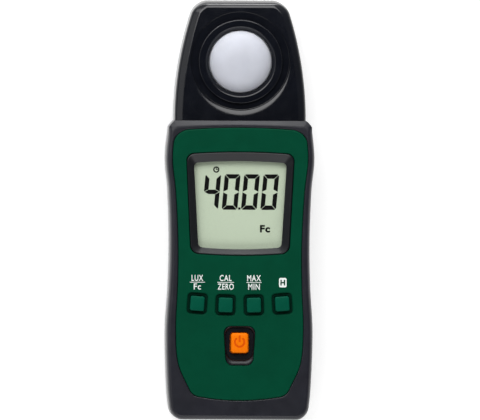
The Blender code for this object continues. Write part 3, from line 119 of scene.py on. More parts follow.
# Rubber rim, as wide as the margins here, and its shoulder
RIM_UPPER = 0.0021
RIM_WAIST = 0.0026
RIM_LOWER = 0.0031
RIM_KNEE = 0.0038
RIM_KNEE_HEIGHT = 0.0175
RIM_HEEL = 0.0071
RIM_TOP = 0.0022
RIM_BOTTOM = 0.0062
RIM_ROUND_WIDTH = 0.0015
RIM_ROUND_HEIGHT = 0.0024
RIM_INNER_ROUND = 0.0003
RIM_GAP = 0.0001
SHOULDER_CROWN = 0.0009
SHOULDER_SLOPE = 0.00040
SHOULDER_SHARE = 0.80
SHOULDER_BLEND = 0.0034

# Green face
FACE_TOP_CROWN = 0.0006
FACE_BOTTOM_CROWN = 0.0011
FACE_TOP_CORNER = 0.0055
FACE_BOTTOM_PULL = 0.0010
FACE_BOTTOM_RUN = 0.0032
FACE_EDGE = 0.0004
LEDGE_DEPTH = 0.0022
LEDGE = FACE - LEDGE_DEPTH

# Shell walls
RUBBER = 0.0014
SHELL_WALL = 0.0018
TONGUE_WALL = 0.0008
SKIRT = RUBBER + FIT
SKIRT_INNER = SKIRT + SHELL_WALL
BACK_ROUND = 0.0030
SEAM_ROUND = 0.0002

# Head: its sides lean in by the draft, then turn into the bevel
SHOULDER_RISE = 0.0045
HEAD_SIDE_RADIUS = 0.1115
HEAD_CORNER_RADIUS = 0.0040
HEAD_SLOPE = 0.042
HEAD_FACE_AT_SHOULDER = FACE - SHOULDER_RISE
HEAD_SIDE_DRAFT = 0.0002
HEAD_SIDE_BEVEL = 0.0025
HEAD_TOP_DRAFT = 0.0006
HEAD_TOP_BEVEL = 0.00110
HEAD_BEVEL_HEIGHT = 0.0009
HEAD_BEVEL_START = 3
HEAD_SIDE_ROUNDS = (0.0009, 0.00025)
HEAD_TOP_ROUNDS = (0.0003, 0.00060)
HEAD_END_GAP = 0.00005
HEAD_CUT_HALF = 8 * REACH
HEAD_CUT_LENGTH = 3 * REACH

# Sensor dome and its collar
DOME_RADIUS = 0.0098
DOME_HEIGHT = 0.0053
DOME_WALL = 0.0016
DOME_FLATNESS = 3.2
DOME_EDGE = 0.70
COLLAR_GROOVE = 0.0014
COLLAR_CREST = 0.0026
COLLAR_WIDTH = 0.0035
COLLAR_HEIGHT = 0.0011
COLLAR_ROUND = 0.0003
COLLAR_SLOPE = 0.0013
COLLAR_SEAT = high("sensor_collar").z - COLLAR_HEIGHT
SENSOR_HOLE = DOME_RADIUS + COLLAR_CREST

# Dish round the sensor
DISH_FLOOR = COLLAR_SEAT - FIT
DISH_RADIUS = 0.01575
DISH_SHIFT = 0.00025
DISH_WALL = 0.0009
DISH_LEAN = 0.0001
DISH_SLOPE = 0.384
DISH_FOOT_ROUND = 0.0003
DOME_FLANGE_TOP = DISH_FLOOR - SHELL_WALL / 2
HEAD_CEILING = DISH_FLOOR - SHELL_WALL

# Display window and its bezel, whose margins are those at its top, sides and bottom
WINDOW_DROP = 0.0128
WINDOW_HEIGHT = 0.0280
WINDOW_TOP_Y = SHOULDER_Y - WINDOW_DROP
WINDOW_BOTTOM_Y = WINDOW_TOP_Y - WINDOW_HEIGHT
WINDOW_TOP_WIDTH = 0.0295
WINDOW_BOTTOM_WIDTH = 0.0264
WINDOW_CROWN = 0.0005
WINDOW_CORNER = 0.0014
WINDOW_FLANGE = 0.0013
BEZEL_MARGINS = (0.0029, 0.0024, 0.0019)
BEZEL_CORNER = 0.0027
BEZEL_DEPTH = 0.00165
BEZEL_LIP = 0.00035
BEZEL_FLANGE = 0.0010
BEZEL_EDGE = 0.0003

# Reading on the display
INK = 0.00003
DIGIT_HEIGHT = 0.01127
DIGIT_WIDTH = 0.0050
DIGIT_PITCH = 0.00614
DIGIT_STROKE = 0.00138
DIGIT_GAP = 0.00010
DIGIT_BEND = 0.00045
DIGIT_SLANT = math.tan(math.radians(5))
DIGIT_BASE_Y = 0.00022
FIRST_DIGIT_X = -0.01195
FOUR = "bcfg"
NOUGHT = "abcdef"
POINT_SIZE = 0.00075
POINT_CORNER = POINT_SIZE / 5
POINT_PLACE = (-0.00017, 0.00060)
UNIT_PLACE = (0.00803, -0.0058)
UNIT_HEIGHT = 0.0024
UNIT_WIDTH = 0.00325
UNIT_BOLD = 0.045
CLOCK_PLACE = (-0.00757, 0.01294)
CLOCK_RADIUS = 0.00100
CLOCK_LINE = 0.00043
CLOCK_HAND = 0.00024
CLOCK_LONG_HAND = 0.00060
CLOCK_SHORT_HAND = 0.00050

# Square keys and their wells: a size is width, height and corner
KEY_NAMES = ("units", "zero", "max_min", "hold")
KEY_SIZE = (0.0045, 0.00465, 0.0006)
KEY_EDGE = 0.0004
KEY_CROWN = 0.00006
KEY_CROWN_SPAN = 0.8
KEY_FLANGE = 0.0009
KEY_FLANGE_MARGIN = 0.0008
KEY_ROW_RADIUS = 0.1850
KEY_WELL_SIZE = (0.0063, 0.0066, 0.0012)
KEY_WELL_DEPTH = 0.0008
KEY_WELL_FLARE = 0.0005

# Power key, its symbol and its well
POWER_SIZE = (0.0055, 0.00635, 0.0009)
POWER_LIFT = 0.00015
POWER_EDGE = 0.0007
POWER_WELL_CORNER = 0.0022
POWER_WELL_TAPER = 0.15
POWER_WELL_RIM = 0.0003
POWER_WELL_DEPTH = 0.0011
POWER_WELL_SCOOP = 0.0014
POWER_SCOOP_CORNER = 0.0030
SYMBOL_OPENING = math.radians(38)
SYMBOL_RADIUS = 0.0015
SYMBOL_LINE = 0.0006
SYMBOL_LIFT = 0.0003
SYMBOL_DEPTH = 0.0003
SYMBOL_INLAY = 0.0001
SYMBOL_STEM = 0.0021

# Key legends: each word with its width, and the length of the line between the two words
LEGENDS = {
    "units": (("LUX", 0.0037), ("Fc", 0.0023), 0.0048),
    "zero": (("CAL", 0.0038), ("ZERO", 0.0051), 0.0053),
    "max_min": (("MAX", 0.0044), ("MIN", 0.0037), 0.0048),
}
LEGEND_HEIGHT = 0.00194
LEGEND_UPPER_Y = -0.02145
LEGEND_LOWER_Y = -0.02417
LEGEND_LINE_Y = -0.02281
LEGEND_LINE = 0.00017
HOLD_BOX = (0.0024, 0.0030)
HOLD_BOX_CORNER = HOLD_BOX[0] / 5
HOLD_BOX_SHIFT = 0.00015
HOLD_BOX_Y = -0.02282
HOLD_LETTER_HEIGHT = 0.0018
HOLD_LETTER_WIDTH = 0.00155
HOLD_LETTER_BOLD = 0.05
LETTER_BOLD = 0.014
LETTER_SPACE = 1.12
LETTER_EXTRUDE = 1.0
LETTER_MERGE = 0.00001

# Back shell and its screws
SCREWS = 4
SCREW_BORE = 0.00145
SCREW_HEAD_HEIGHT = 0.0014
BOSS_RADIUS = 0.00255
BAY_WALL = 0.0010
BACK_MIDDLE = SHELL_WALL / 2

# Battery door
DOOR_TONGUE = 0.0010
DOOR_TONGUE_THICKNESS = 0.0007
DOOR_RIDGES = 5
DOOR_RIDGE_PITCH = 0.0018
DOOR_RIDGE_HALF = DOOR_RIDGE_PITCH / 4
DOOR_RIDGE_LENGTH = 0.0120
DOOR_RIDGE_DEPTH = 0.0005
DOOR_FIRST_RIDGE = 2
DOOR_EDGE = 0.00015
DOOR_EDGE_STEPS = 2
ARROW_SIZE = 0.0022
ARROW_DEPTH = 0.00025

# Cells and their springs
CELL_NUB_LENGTH = 0.0009
CELL_NUB_RADIUS = 0.0019
CELL_END_RADIUS = 0.0034
CELL_EDGE = 0.0006
CELL_LIP = 0.0003
CELL_BAND = 0.72
SPRING_WIRE = 0.0006
SPRING_RADIUS = 0.0030
SPRING_TIP_RADIUS = 0.0016
SPRING_TURNS = 2.6
SPRING_POINTS = 36
SPRING_MERGE = 0.000001

# Drifts of colour and gloss over a moulded surface, and the fineness of its grain
DRIFT_DETAIL = 2.0
GRAIN_DETAIL = 4.0
COLOUR_DRIFT = 0.006
COLOUR_STOPS = (0.35, 0.65)
GLOSS_DRIFT = 0.003
GLOSS_SPREAD = 0.05

# Room and floor
WORLD_SIDES = 0.35
WORLD_ENDS = 1.1
WORLD_ZENITH = 0.06
WORLD_STOPS = (0.35, 0.95)
FLOOR_HALF = 12.0
FLOOR_LEVEL = -0.0001
FLOOR_THICKNESS = 0.0001
FLOOR_GLOW = 0.54

# Camera
IMAGE_WIDTH = 0.1525
CAMERA_LEFT = math.radians(1.9)
CAMERA_UP = math.radians(1.0)
CAMERA_ROLL = math.radians(0.28)
CAMERA_TARGET = (0.0003, 0.0)
CAMERA_DISTANCE = 0.8

# Fineness of round shapes
CORNER_STEPS = 10
EDGE_STEPS = 8
SIDE_STEPS = 56
HEAD_STEPS = 28
ROUND_STEPS = 8
SMALL_STEPS = 4
DOME_STEPS = 32
SYMBOL_STEPS = 32
RIDGE_STEPS = 16
SPIN_STEPS = 96
BEZIER_ARC = 0.5523
SHARP_ANGLE = math.radians(32)
FLAT_FACE_WEIGHT = 100


# Mesh helpers

def add_object(name, data):
    obj = bpy.data.objects.new(name, data)
    SCENE.collection.objects.link(obj)
    return obj


def object_from(bm, name):
    bmesh.ops.recalc_face_normals(bm, faces=bm.faces)
    mesh = bpy.data.meshes.new(name)
    bm.to_mesh(mesh)
    bm.free()
    return add_object(name, mesh)


def loft(name, rings, loop=False):
    """A solid through rings of equal count, capped at its ends or closed on itself."""
    bm = bmesh.new()
    rows = [[bm.verts.new(point) for point in ring] for ring in rings]
    pairs = list(zip(rows, rows[1:]))
    if loop:
        pairs.append((rows[-1], rows[0]))
    else:
        bm.faces.new(rows[0])
        bm.faces.new(rows[-1])
    for lower, upper in pairs:
        for i in range(len(lower)):
            j = (i + 1) % len(lower)
            bm.faces.new((lower[i], lower[j], upper[j], upper[i]))
    return object_from(bm, name)


def level_ring(outline, z):
    return [(x, y, z) for x, y in outline]


def stack(outline, *steps):
    """Rings of one outline, each with its own inset and level."""
    return [level_ring(outline(inset), level) for inset, level in steps]


def circle(radius, centre, z):
    angles = [2 * math.pi * step / SPIN_STEPS for step in range(SPIN_STEPS)]
    return [(centre[0] + radius * math.cos(a), centre[1] + radius * math.sin(a), z) for a in angles]


def turned(name, profile, centre, loop=False):
    """A profile of radius and level, spun round an upright axis."""
    return loft(name, [circle(radius, centre, level) for radius, level in profile], loop)


def prism(name, outline, bottom, top):
    return loft(name, [level_ring(outline, bottom), level_ring(outline, top)])


def block(name, lowest, highest):
    x0, y0, z0 = lowest
    x1, y1, z1 = highest
    return prism(name, [(x0, y0), (x1, y0), (x1, y1), (x0, y1)], z0, z1)


def slab(name, half, first, last, bottom, top):
    """A block centred across the meter."""
    return block(name, (-half, first, bottom), (half, last, top))


def joined(name, parts):
    """Several closed shapes as one object."""
    bm = bmesh.new()
    for part in parts:
        bm.from_mesh(part.data)
        bpy.data.objects.remove(part, do_unlink=True)
    return object_from(bm, name)


def evaluated_mesh(obj):
    """An object's mesh with its modifiers applied, or a curve's as a mesh."""
    bpy.context.view_layer.update()
    evaluated = obj.evaluated_get(bpy.context.evaluated_depsgraph_get())
    return bpy.data.meshes.new_from_object(evaluated)


def combine(obj, tools, operation):
    for tool in tools:
        modifier = obj.modifiers.new(tool.name, "BOOLEAN")
        modifier.operation = operation
        modifier.solver = "EXACT"
        modifier.object = tool
    mesh = evaluated_mesh(obj)
    obj.modifiers.clear()
    obj.data = mesh
    for tool in tools:
        bpy.data.objects.remove(tool, do_unlink=True)


def cut(obj, *tools):
    combine(obj, tools, "DIFFERENCE")


def unite(obj, *tools):
    combine(obj, tools, "UNION")


def shape_of_curve(name, curve, merge):
    """A curve or a text as an editable mesh, with points nearer than merge made one."""
    guide = add_object(name, curve)
    mesh = evaluated_mesh(guide)
    bpy.data.objects.remove(guide, do_unlink=True)
    bm = bmesh.new()
    bm.from_mesh(mesh)
    bmesh.ops.remove_doubles(bm, verts=bm.verts, dist=merge)
    return bm


def lettering(text, place, height, bottom, top, width=None, bold=LETTER_BOLD):
    """A word as a thin solid, fitted to its height and, if given, its width."""
    curve = bpy.data.curves.new(text, "FONT")
    curve.body = text
    curve.extrude = LETTER_EXTRUDE
    curve.offset = bold
    curve.space_character = LETTER_SPACE
    bm = shape_of_curve(text, curve, LETTER_MERGE)
    xs = [vertex.co.x for vertex in bm.verts]
    ys = [vertex.co.y for vertex in bm.verts]
    centre = ((max(xs) + min(xs)) / 2, (max(ys) + min(ys)) / 2)
    tall = height / (max(ys) - min(ys))
    wide = width / (max(xs) - min(xs)) if width else tall
    for vertex in bm.verts:
        x = (vertex.co.x - centre[0]) * wide + place[0]
        y = (vertex.co.y - centre[1]) * tall + place[1]
        vertex.co = (x, y, top if vertex.co.z > 0 else bottom)
    return object_from(bm, text)


def stroke(name, points, width, bottom, top):
    """A flat line of even width along points, as a thin solid."""
    left, right = [], []
    path = [Vector(point) for point in points]
    for index, point in enumerate(path):
        ahead = path[min(index + 1, len(path) - 1)] - path[max(index - 1, 0)]
        side = Vector((-ahead.y, ahead.x)).normalized() * (width / 2)
        left.append(tuple(point + side))
        right.append(tuple(point - side))
    return prism(name, left + list(reversed(right)), bottom, top)


def wire(name, points, radius):
    """A round wire along points."""
    curve = bpy.data.curves.new(name, "CURVE")
    curve.dimensions = "3D"
    curve.bevel_depth = radius
    curve.bevel_resolution = SMALL_STEPS
    curve.use_fill_caps = True
    spline = curve.splines.new("POLY")
    spline.points.add(len(points) - 1)
    for point, place in zip(spline.points, points):
        point.co = (*place, 1)
    return object_from(shape_of_curve(name, curve, SPRING_MERGE), name)


def smooth(obj):
    """Round surfaces shade smoothly, and flat ones stay flat beside them."""
    obj.data.shade_smooth()
    obj.data.set_sharp_from_angle(angle=SHARP_ANGLE)
    weighted = obj.modifiers.new("flat faces stay flat", "WEIGHTED_NORMAL")
    weighted.keep_sharp = True
    weighted.weight = FLAT_FACE_WEIGHT


def dress(obj, body, slot, *nodes, look=None):
    """Make a shape a piece of the meter, in the place of the nodes named."""
    smooth(obj)
    obj.data.materials.clear()
    obj.data.materials.append(LOOKS[look or slot])
    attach(obj, body)
    if nodes:
        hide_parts(*nodes)


# Rounds

def quarter_round(width, height, steps=ROUND_STEPS):
    """Inset and drop below the top, from the foot of a rounded edge to its top."""
    angles = [math.pi / 2 * step / steps for step in range(steps + 1)]
    return [(width * (1 - math.cos(a)), height * (1 - math.sin(a))) for a in angles]


def top_rings(outline, radius, level, steps=SMALL_STEPS):
    """Rings of a rounded upper edge, from the side up to the level given."""
    edge = quarter_round(radius, radius, steps)
    return stack(outline, *[(inset, level - drop) for inset, drop in edge])


def foot_rings(outline, radius, level, steps=SMALL_STEPS):
    """Rings of a rounded lower edge, from the level given up to the side."""
    edge = reversed(quarter_round(radius, radius, steps))
    return stack(outline, *[(inset, level + drop) for inset, drop in edge])


def round_corner(start, corner, end, steps=CORNER_STEPS):
    """Points after start, round to end, as a quarter arc pulled to the corner."""
    a, c, b = Vector(start), Vector(corner), Vector(end)
    near_a = a.lerp(c, BEZIER_ARC)
    near_b = b.lerp(c, BEZIER_ARC)
    points = []
    for step in range(1, steps + 1):
        t = step / steps
        u = 1 - t
        point = a * u ** 3 + near_a * (3 * u * u * t) + near_b * (3 * u * t * t) + b * t ** 3
        points.append(tuple(point))
    return points


def softened(points, radius):
    """The inner points of a path, each rounded off into a few."""
    path = []
    for before, corner, after in zip(points, points[1:], points[2:]):
        corner = Vector(corner)
        start = corner + (Vector(before) - corner).normalized() * radius
        end = corner + (Vector(after) - corner).normalized() * radius
        path.append(tuple(start))
        path += round_corner(start, corner, end, SMALL_STEPS)
    return path


def flared_hole(name, grown, floor, top, flare):
    """A cutter with upright sides that opens in a quarter round at the surface."""
    rings = stack(grown, (0, floor))
    rings += top_rings(grown, flare, top)
    rings += stack(grown, (flare, top + REACH))
    return loft(name, rings)


# Outlines: half of each is made from the top middle to the bottom middle

def mirrored(half):
    """A closed outline from its right half."""
    return half + [(-x, y) for x, y in reversed(half[1:-1])]


def rounded_rectangle(width, height, corner, steps=SMALL_STEPS, centre=(0, 0), turn=0.0):
    x, y = width / 2, height / 2
    corners = [
        ((x - corner, y), (x, y), (x, y - corner)),
        ((x, corner - y), (x, -y), (x - corner, -y)),
        ((corner - x, -y), (-x, -y), (-x, corner - y)),
        ((-x, y - corner), (-x, y), (corner - x, y)),
    ]
    rotation = Matrix.Rotation(turn, 2)
    points = []
    for start, bend, end in corners:
        for point in [start] + round_corner(start, bend, end, steps):
            points.append(tuple(rotation @ Vector(point) + Vector(centre)))
    return points


def through_stations(stations, y):
    """A smooth value at y, through (y, value) stations in rising order of y."""
    last = len(stations) - 1
    index = 0
    while index < last - 1 and y > stations[index + 1][0]:
        index += 1

    def slope(i):
        before = stations[max(i - 1, 0)]
        after = stations[min(i + 1, last)]
        return (after[1] - before[1]) / (after[0] - before[0])

    (y0, v0), (y1, v1) = stations[index], stations[index + 1]
    span = y1 - y0
    t = (y - y0) / span
    first = (2 * t ** 3 - 3 * t ** 2 + 1) * v0 + (t ** 3 - 2 * t ** 2 + t) * span * slope(index)
    second = (3 * t ** 2 - 2 * t ** 3) * v1 + (t ** 3 - t ** 2) * span * slope(index + 1)
    return first + second


def body_edge(y):
    """Half the body's width at y."""
    stations = [
        (BOTTOM_Y, WAIST_HALF - HEEL_SWELL),
        (BOTTOM_Y + HEEL_HEIGHT, WAIST_HALF + HEEL_SWELL),
        (BOTTOM_Y + LOWER_BULGE_HEIGHT, WAIST_HALF + LOWER_BULGE_SWELL),
        (BOTTOM_Y + HIP_HEIGHT, WAIST_HALF + HIP_SWELL),
        (SHOULDER_Y - WAIST_DROP, WAIST_HALF),
        (SHOULDER_Y - UPPER_FLANK_DROP, WAIST_HALF + UPPER_FLANK_SWELL),
        (SHOULDER_Y - UPPER_BULGE_DROP, WAIST_HALF + UPPER_BULGE_SWELL),
        (SHOULDER_Y - SHOULDER_DROP, HEAD_HALF + SHOULDER_STEP),
    ]
    return through_stations(stations, y)


def face_edge(y):
    """Half the green face's width at y: the body's, less the rubber rim."""
    margins = [
        (BOTTOM_Y + HEEL_HEIGHT, RIM_HEEL),
        (BOTTOM_Y + RIM_KNEE_HEIGHT, RIM_KNEE),
        (BOTTOM_Y + LOWER_BULGE_HEIGHT, RIM_LOWER),
        (SHOULDER_Y - WAIST_DROP, RIM_WAIST),
        (SHOULDER_Y - UPPER_BULGE_DROP, RIM_UPPER),
        (SHOULDER_Y, RIM_UPPER),
    ]
    return body_edge(y) - through_stations(margins, y)


def head_edge(y):
    """Half the head's width at y, bowed from the shoulder up."""
    rise = max(y - SHOULDER_Y, 0.0)
    return HEAD_HALF - HEAD_SIDE_RADIUS + math.sqrt(HEAD_SIDE_RADIUS ** 2 - rise ** 2)


def side_points(edge, inset, top, bottom, steps):
    """Points down one side, without the first."""
    points = []
    for step in range(1, steps + 1):
        y = top + (bottom - top) * step / steps
        points.append((edge(y) - inset, y))
    return points


def top_edge(end_x, level, crown):
    """An edge from its middle to its end, where it is lower by crown."""
    points = []
    for step in range(EDGE_STEPS + 1):
        share = step / EDGE_STEPS
        points.append((end_x * share, level - crown * share ** 2))
    return points


def bottom_edge(end_x, level, crown):
    """An edge from its end, where it is higher by crown, to its middle, without the first point."""
    return top_edge(end_x, level, -crown)[-2::-1]


def body_side(inset, top):
    """Down the body's side, round its bottom corner and along its bottom edge."""
    radius = max(FOOT_RADIUS, inset + OVERLAP)
    bottom = BOTTOM_Y + inset
    side_y = BOTTOM_Y + radius
    side_x = body_edge(side_y) - inset
    end_x = body_edge(side_y) - radius
    points = side_points(body_edge, inset, top, side_y, SIDE_STEPS)
    points += round_corner((side_x, side_y), (side_x - OVERLAP, bottom), (end_x, bottom))
    return points + bottom_edge(end_x, bottom, 0.0)


def body_outline(inset, crown=0.0):
    """The body from the shoulder down, with a top edge that falls by crown at its ends."""
    top = SHOULDER_Y - inset
    side_top = SHOULDER_Y - SHOULDER_DROP - inset / 2 - crown
    side_half = body_edge(side_top) - inset
    half = top_edge(HEAD_HALF - inset, top, crown)
    corner = (side_half - SHOULDER_PULL, (top - crown + side_top) / 2)
    half += round_corner(half[-1], corner, (side_half, side_top))
    return mirrored(half + body_side(inset, side_top))


def face_outline(inset):
    """The green face."""
    top = SHOULDER_Y - RIM_TOP - inset
    bottom = BOTTOM_Y + RIM_BOTTOM + inset
    side_top = top - FACE_TOP_CORNER
    side_half = face_edge(side_top) - inset
    half = top_edge(side_half - FACE_TOP_CORNER, top, FACE_TOP_CROWN)
    half += round_corner(half[-1], (side_half, top - FACE_TOP_CROWN), (side_half, side_top))
    side_bottom = BOTTOM_Y + HEEL_HEIGHT + inset / 2
    half += side_points(face_edge, inset, side_top, side_bottom, SIDE_STEPS)
    low_half = half[-1][0]
    end = (low_half - FACE_BOTTOM_RUN, bottom + FACE_BOTTOM_CROWN)
    half += round_corner(half[-1], (low_half - FACE_BOTTOM_PULL, end[1]), end)
    half += bottom_edge(end[0], bottom, FACE_BOTTOM_CROWN)
    return mirrored(half)


def head_top(inset, top_inset):
    """The head's top edge, corner and side, down to the shoulder."""
    radius = max(HEAD_CORNER_RADIUS, inset + OVERLAP)
    top = TOP_Y - top_inset
    side_y = TOP_Y - radius
    side_x = head_edge(side_y) - inset
    start = (head_edge(TOP_Y) - radius, top)
    half = [(0, top), (start[0] / 2, top), start]
    half += round_corner(start, (head_edge(TOP_Y) - inset, top), (side_x, side_y))
    half += side_points(head_edge, inset, side_y, SHOULDER_Y - inset, HEAD_STEPS)
    return half


def head_outline(inset, top_inset=None):
    """The head, run on past the shoulder."""
    end = SHOULDER_Y - REACH
    half = head_top(inset, inset if top_inset is None else top_inset)
    return mirrored(half + [(HEAD_HALF - inset, end), (0, end)])


def case_outline(inset):
    """Head and body together."""
    side_top = SHOULDER_Y - SHOULDER_DROP - inset / 2
    half = head_top(inset, inset)
    half.append((body_edge(side_top) - inset, side_top))
    return mirrored(half + body_side(inset, side_top))


def display_outline(top_margin, side_margin, bottom_margin, corner):
    """The window's outline grown by margins, with curved top and bottom edges."""
    top = WINDOW_TOP_Y + top_margin
    bottom = WINDOW_BOTTOM_Y - bottom_margin
    top_half = WINDOW_TOP_WIDTH / 2 + side_margin
    bottom_half = WINDOW_BOTTOM_WIDTH / 2 + side_margin
    lean = (top_half - bottom_half) / (top - bottom) * corner
    half = top_edge(top_half - corner, top, WINDOW_CROWN)
    top_corner = (top_half, top - WINDOW_CROWN)
    half += round_corner(half[-1], top_corner, (top_half - lean, top_corner[1] - corner))
    bottom_corner = (bottom_half, bottom + WINDOW_CROWN)
    low_start = (bottom_half + lean, bottom_corner[1] + corner)
    half.append(low_start)
    half += round_corner(low_start, bottom_corner, (bottom_half - corner, bottom_corner[1]))
    half += bottom_edge(bottom_half - corner, bottom, WINDOW_CROWN)
    return mirrored(half)


def window_outline(margin):
    return display_outline(margin, margin, margin, WINDOW_CORNER)


def bezel_outline(grow):
    return display_outline(*[margin + grow for margin in BEZEL_MARGINS], BEZEL_CORNER)


def bezel_hole(grow):
    """The opening in the green face that the bezel fills."""
    return bezel_outline(FIT / 2 + grow)


def rim_opening(grow):
    """The opening in the rubber rim that the green face fills."""
    return face_outline(-RIM_GAP - grow)


def key_place(name):
    """Centre and turn of a square key, on a row that curves up at its ends."""
    centre = middle(f"key_{name}")
    turn = math.asin(centre.x / KEY_ROW_RADIUS)
    return (centre.x, centre.y), turn


def power_place():
    centre = middle("key_power")
    return centre.x, centre.y + POWER_LIFT


def grown_key(size, grow, place, turn=0.0):
    """A key's or a well's outline, grown on all sides."""
    width, height, corner = size
    return rounded_rectangle(width + 2 * grow, height + 2 * grow, corner + grow, CORNER_STEPS, place, turn)


def power_outline(inset, scoop, corner):
    """The power key's well: it narrows downward, and a scoop lifts its bottom edge."""
    first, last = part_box("power_key_bezel")
    tall = last.y - first.y
    place = ((first.x + last.x) / 2, (first.y + last.y + scoop) / 2)
    size = (last.x - first.x - 2 * inset, tall - 2 * inset - scoop)
    outline = []
    for x, y in rounded_rectangle(*size, corner, CORNER_STEPS, place):
        share = (last.y - y) / tall
        outline.append((place[0] + (x - place[0]) * (1 - POWER_WELL_TAPER * share), y))
    return outline


def power_well(grow):
    grow += FIT / 2
    return power_outline(-grow, 0.0, POWER_WELL_CORNER + grow)


# Materials: an input takes a plain value or the output of another node

def feed(socket, value):
    if isinstance(value, bpy.types.NodeSocket):
        socket.id_data.links.new(value, socket)
    else:
        socket.default_value = value


def set_inputs(node, **values):
    """Inputs by name, with underscores for spaces."""
    for name, value in values.items():
        feed(node.inputs[name.replace("_", " ")], value)


def add_node(beside, kind, **values):
    """A new node in the tree of another one."""
    node = beside.id_data.nodes.new(f"ShaderNode{kind}")
    set_inputs(node, **values)
    return node


def coordinates(beside, kind="Object"):
    return add_node(beside, "TexCoord").outputs[kind]


def calculated(operation, first, second):
    node = add_node(first.node, "Math")
    node.operation = operation
    feed(node.inputs[0], first)
    feed(node.inputs[1], second)
    return node.outputs["Value"]


def mapped(value, **span):
    return add_node(value.node, "MapRange", Value=value, **span).outputs["Result"]


def ramp(factor, stops, interpolation="LINEAR"):
    """A colour that follows a factor through two stops."""
    node = add_node(factor.node, "ValToRGB", Fac=factor)
    node.color_ramp.interpolation = interpolation
    for element, (position, colour) in zip(node.color_ramp.elements, stops):
        element.position = position
        element.color = (*colour, 1)
    return node.outputs["Color"]


def noise(shader, size, detail=DRIFT_DETAIL):
    """Cloudy noise with spots of about the size given."""
    texture = add_node(shader, "TexNoise", Vector=coordinates(shader), Scale=1 / size, Detail=detail)
    return texture.outputs["Fac"]


def vary_colour(shader, colour, spread, size):
    """The colour drifts a little lighter and darker over spots of the size given."""
    stops = []
    for position, factor in zip(COLOUR_STOPS, (1 - spread, 1 + spread)):
        stops.append((position, [min(channel * factor, 1.0) for channel in colour]))
    set_inputs(shader, Base_Color=ramp(noise(shader, size), stops))


def vary_gloss(shader, roughness, spread, size):
    gloss = mapped(noise(shader, size), To_Min=roughness - spread, To_Max=roughness + spread)
    set_inputs(shader, Roughness=gloss)


def add_grain(shader, size, depth):
    """Fine moulded grain."""
    bump = add_node(shader, "Bump", Strength=1.0, Distance=depth, Height=noise(shader, size, GRAIN_DETAIL))
    set_inputs(shader, Normal=bump.outputs["Normal"])


def new_material(name, colour, roughness, metallic=0.0, specular=0.5):
    material = bpy.data.materials.new(name)
    material.use_nodes = True
    shader = material.node_tree.nodes["Principled BSDF"]
    set_inputs(shader, Base_Color=(*colour, 1), Roughness=roughness)
    set_inputs(shader, Metallic=metallic, Specular_IOR_Level=specular)
    return material, shader


def moulded(name, colour, roughness, specular, spread, grain_size, grain_depth):
    """Moulded plastic, rubber or print: grain, and a little drift of colour and gloss."""
    material, shader = new_material(name, colour, roughness, specular=specular)
    vary_colour(shader, colour, spread, COLOUR_DRIFT)
    vary_gloss(shader, roughness, GLOSS_SPREAD, GLOSS_DRIFT)
    add_grain(shader, grain_size, grain_depth)
    return material


def rubber_material(material):
    """Moulded rubber with a faint bloom."""
    shader = material.node_tree.nodes["Principled BSDF"]
    set_inputs(shader, Sheen_Weight=0.03, Sheen_Roughness=0.4)
    return material


def opal_material():
    """Milky plastic, which light enters and leaves again near by."""
    colour = (0.60, 0.615, 0.675)
    roughness = 0.5
    material, shader = new_material("opal_diffuser", colour, roughness)
    vary_colour(shader, colour, spread=0.02, size=0.004)
    vary_gloss(shader, roughness, spread=0.04, size=0.002)
    add_grain(shader, size=0.0002, depth=0.000003)
    set_inputs(shader, Subsurface_Weight=1.0, Subsurface_Radius=(1, 1, 1), Subsurface_Scale=0.0015)
    return material


def display_material():
    """The reflector behind the liquid crystal has a fine speckle."""
    colour = (0.62, 0.725, 0.55)
    material, shader = new_material("display_reflector", colour, roughness=0.55, specular=0.2)
    vary_colour(shader, colour, spread=0.035, size=0.00035)
    return material


def window_material():
    material, shader = new_material("clear_window", (0.02, 0.022, 0.02), roughness=0.06, specular=0.4)
    set_inputs(shader, Alpha=0.04)
    add_grain(shader, size=0.004, depth=0.000004)
    return material


def steel_material():
    """Plated metal with fine drawing lines along X."""
    roughness = 0.3
    material, shader = new_material("plated_steel", (0.55, 0.55, 0.56), roughness, metallic=1.0)
    stretch = add_node(shader, "Mapping", Vector=coordinates(shader), Scale=(200, 9000, 9000))
    lines = add_node(shader, "TexNoise", Vector=stretch.outputs["Vector"], Scale=1.0, Detail=3.0)
    gloss = mapped(lines.outputs["Fac"], To_Min=roughness - 0.08, To_Max=roughness + 0.12)
    set_inputs(shader, Roughness=gloss)
    return material


def board_material():
    """Lacquered circuit board, with lighter tracks under the lacquer."""
    material, shader = new_material("circuit_board", (0.010, 0.110, 0.040), roughness=0.3)
    tracks = add_node(shader, "TexBrick", Vector=coordinates(shader), Scale=90.0)
    set_inputs(tracks, Color1=(0.008, 0.095, 0.034, 1), Color2=(0.012, 0.120, 0.045, 1))
    set_inputs(tracks, Mortar=(0.030, 0.210, 0.090, 1))
    set_inputs(shader, Base_Color=tracks.outputs["Color"])
    return material


def cell_material():
    """A plain dark sleeve with a copper band at the positive end."""
    roughness = 0.3
    material, shader = new_material("cell_sleeve", (0.08, 0.085, 0.095), roughness)
    along = add_node(shader, "SeparateXYZ", Vector=coordinates(shader)).outputs["Z"]
    length = high("battery_left").y - low("battery_left").y
    stops = [(0.0, (0.035, 0.037, 0.042)), (CELL_BAND, (0.45, 0.20, 0.08))]
    set_inputs(shader, Base_Color=ramp(mapped(along, From_Max=length), stops, "CONSTANT"))
    vary_gloss(shader, roughness, spread=0.06, size=0.003)
    return material


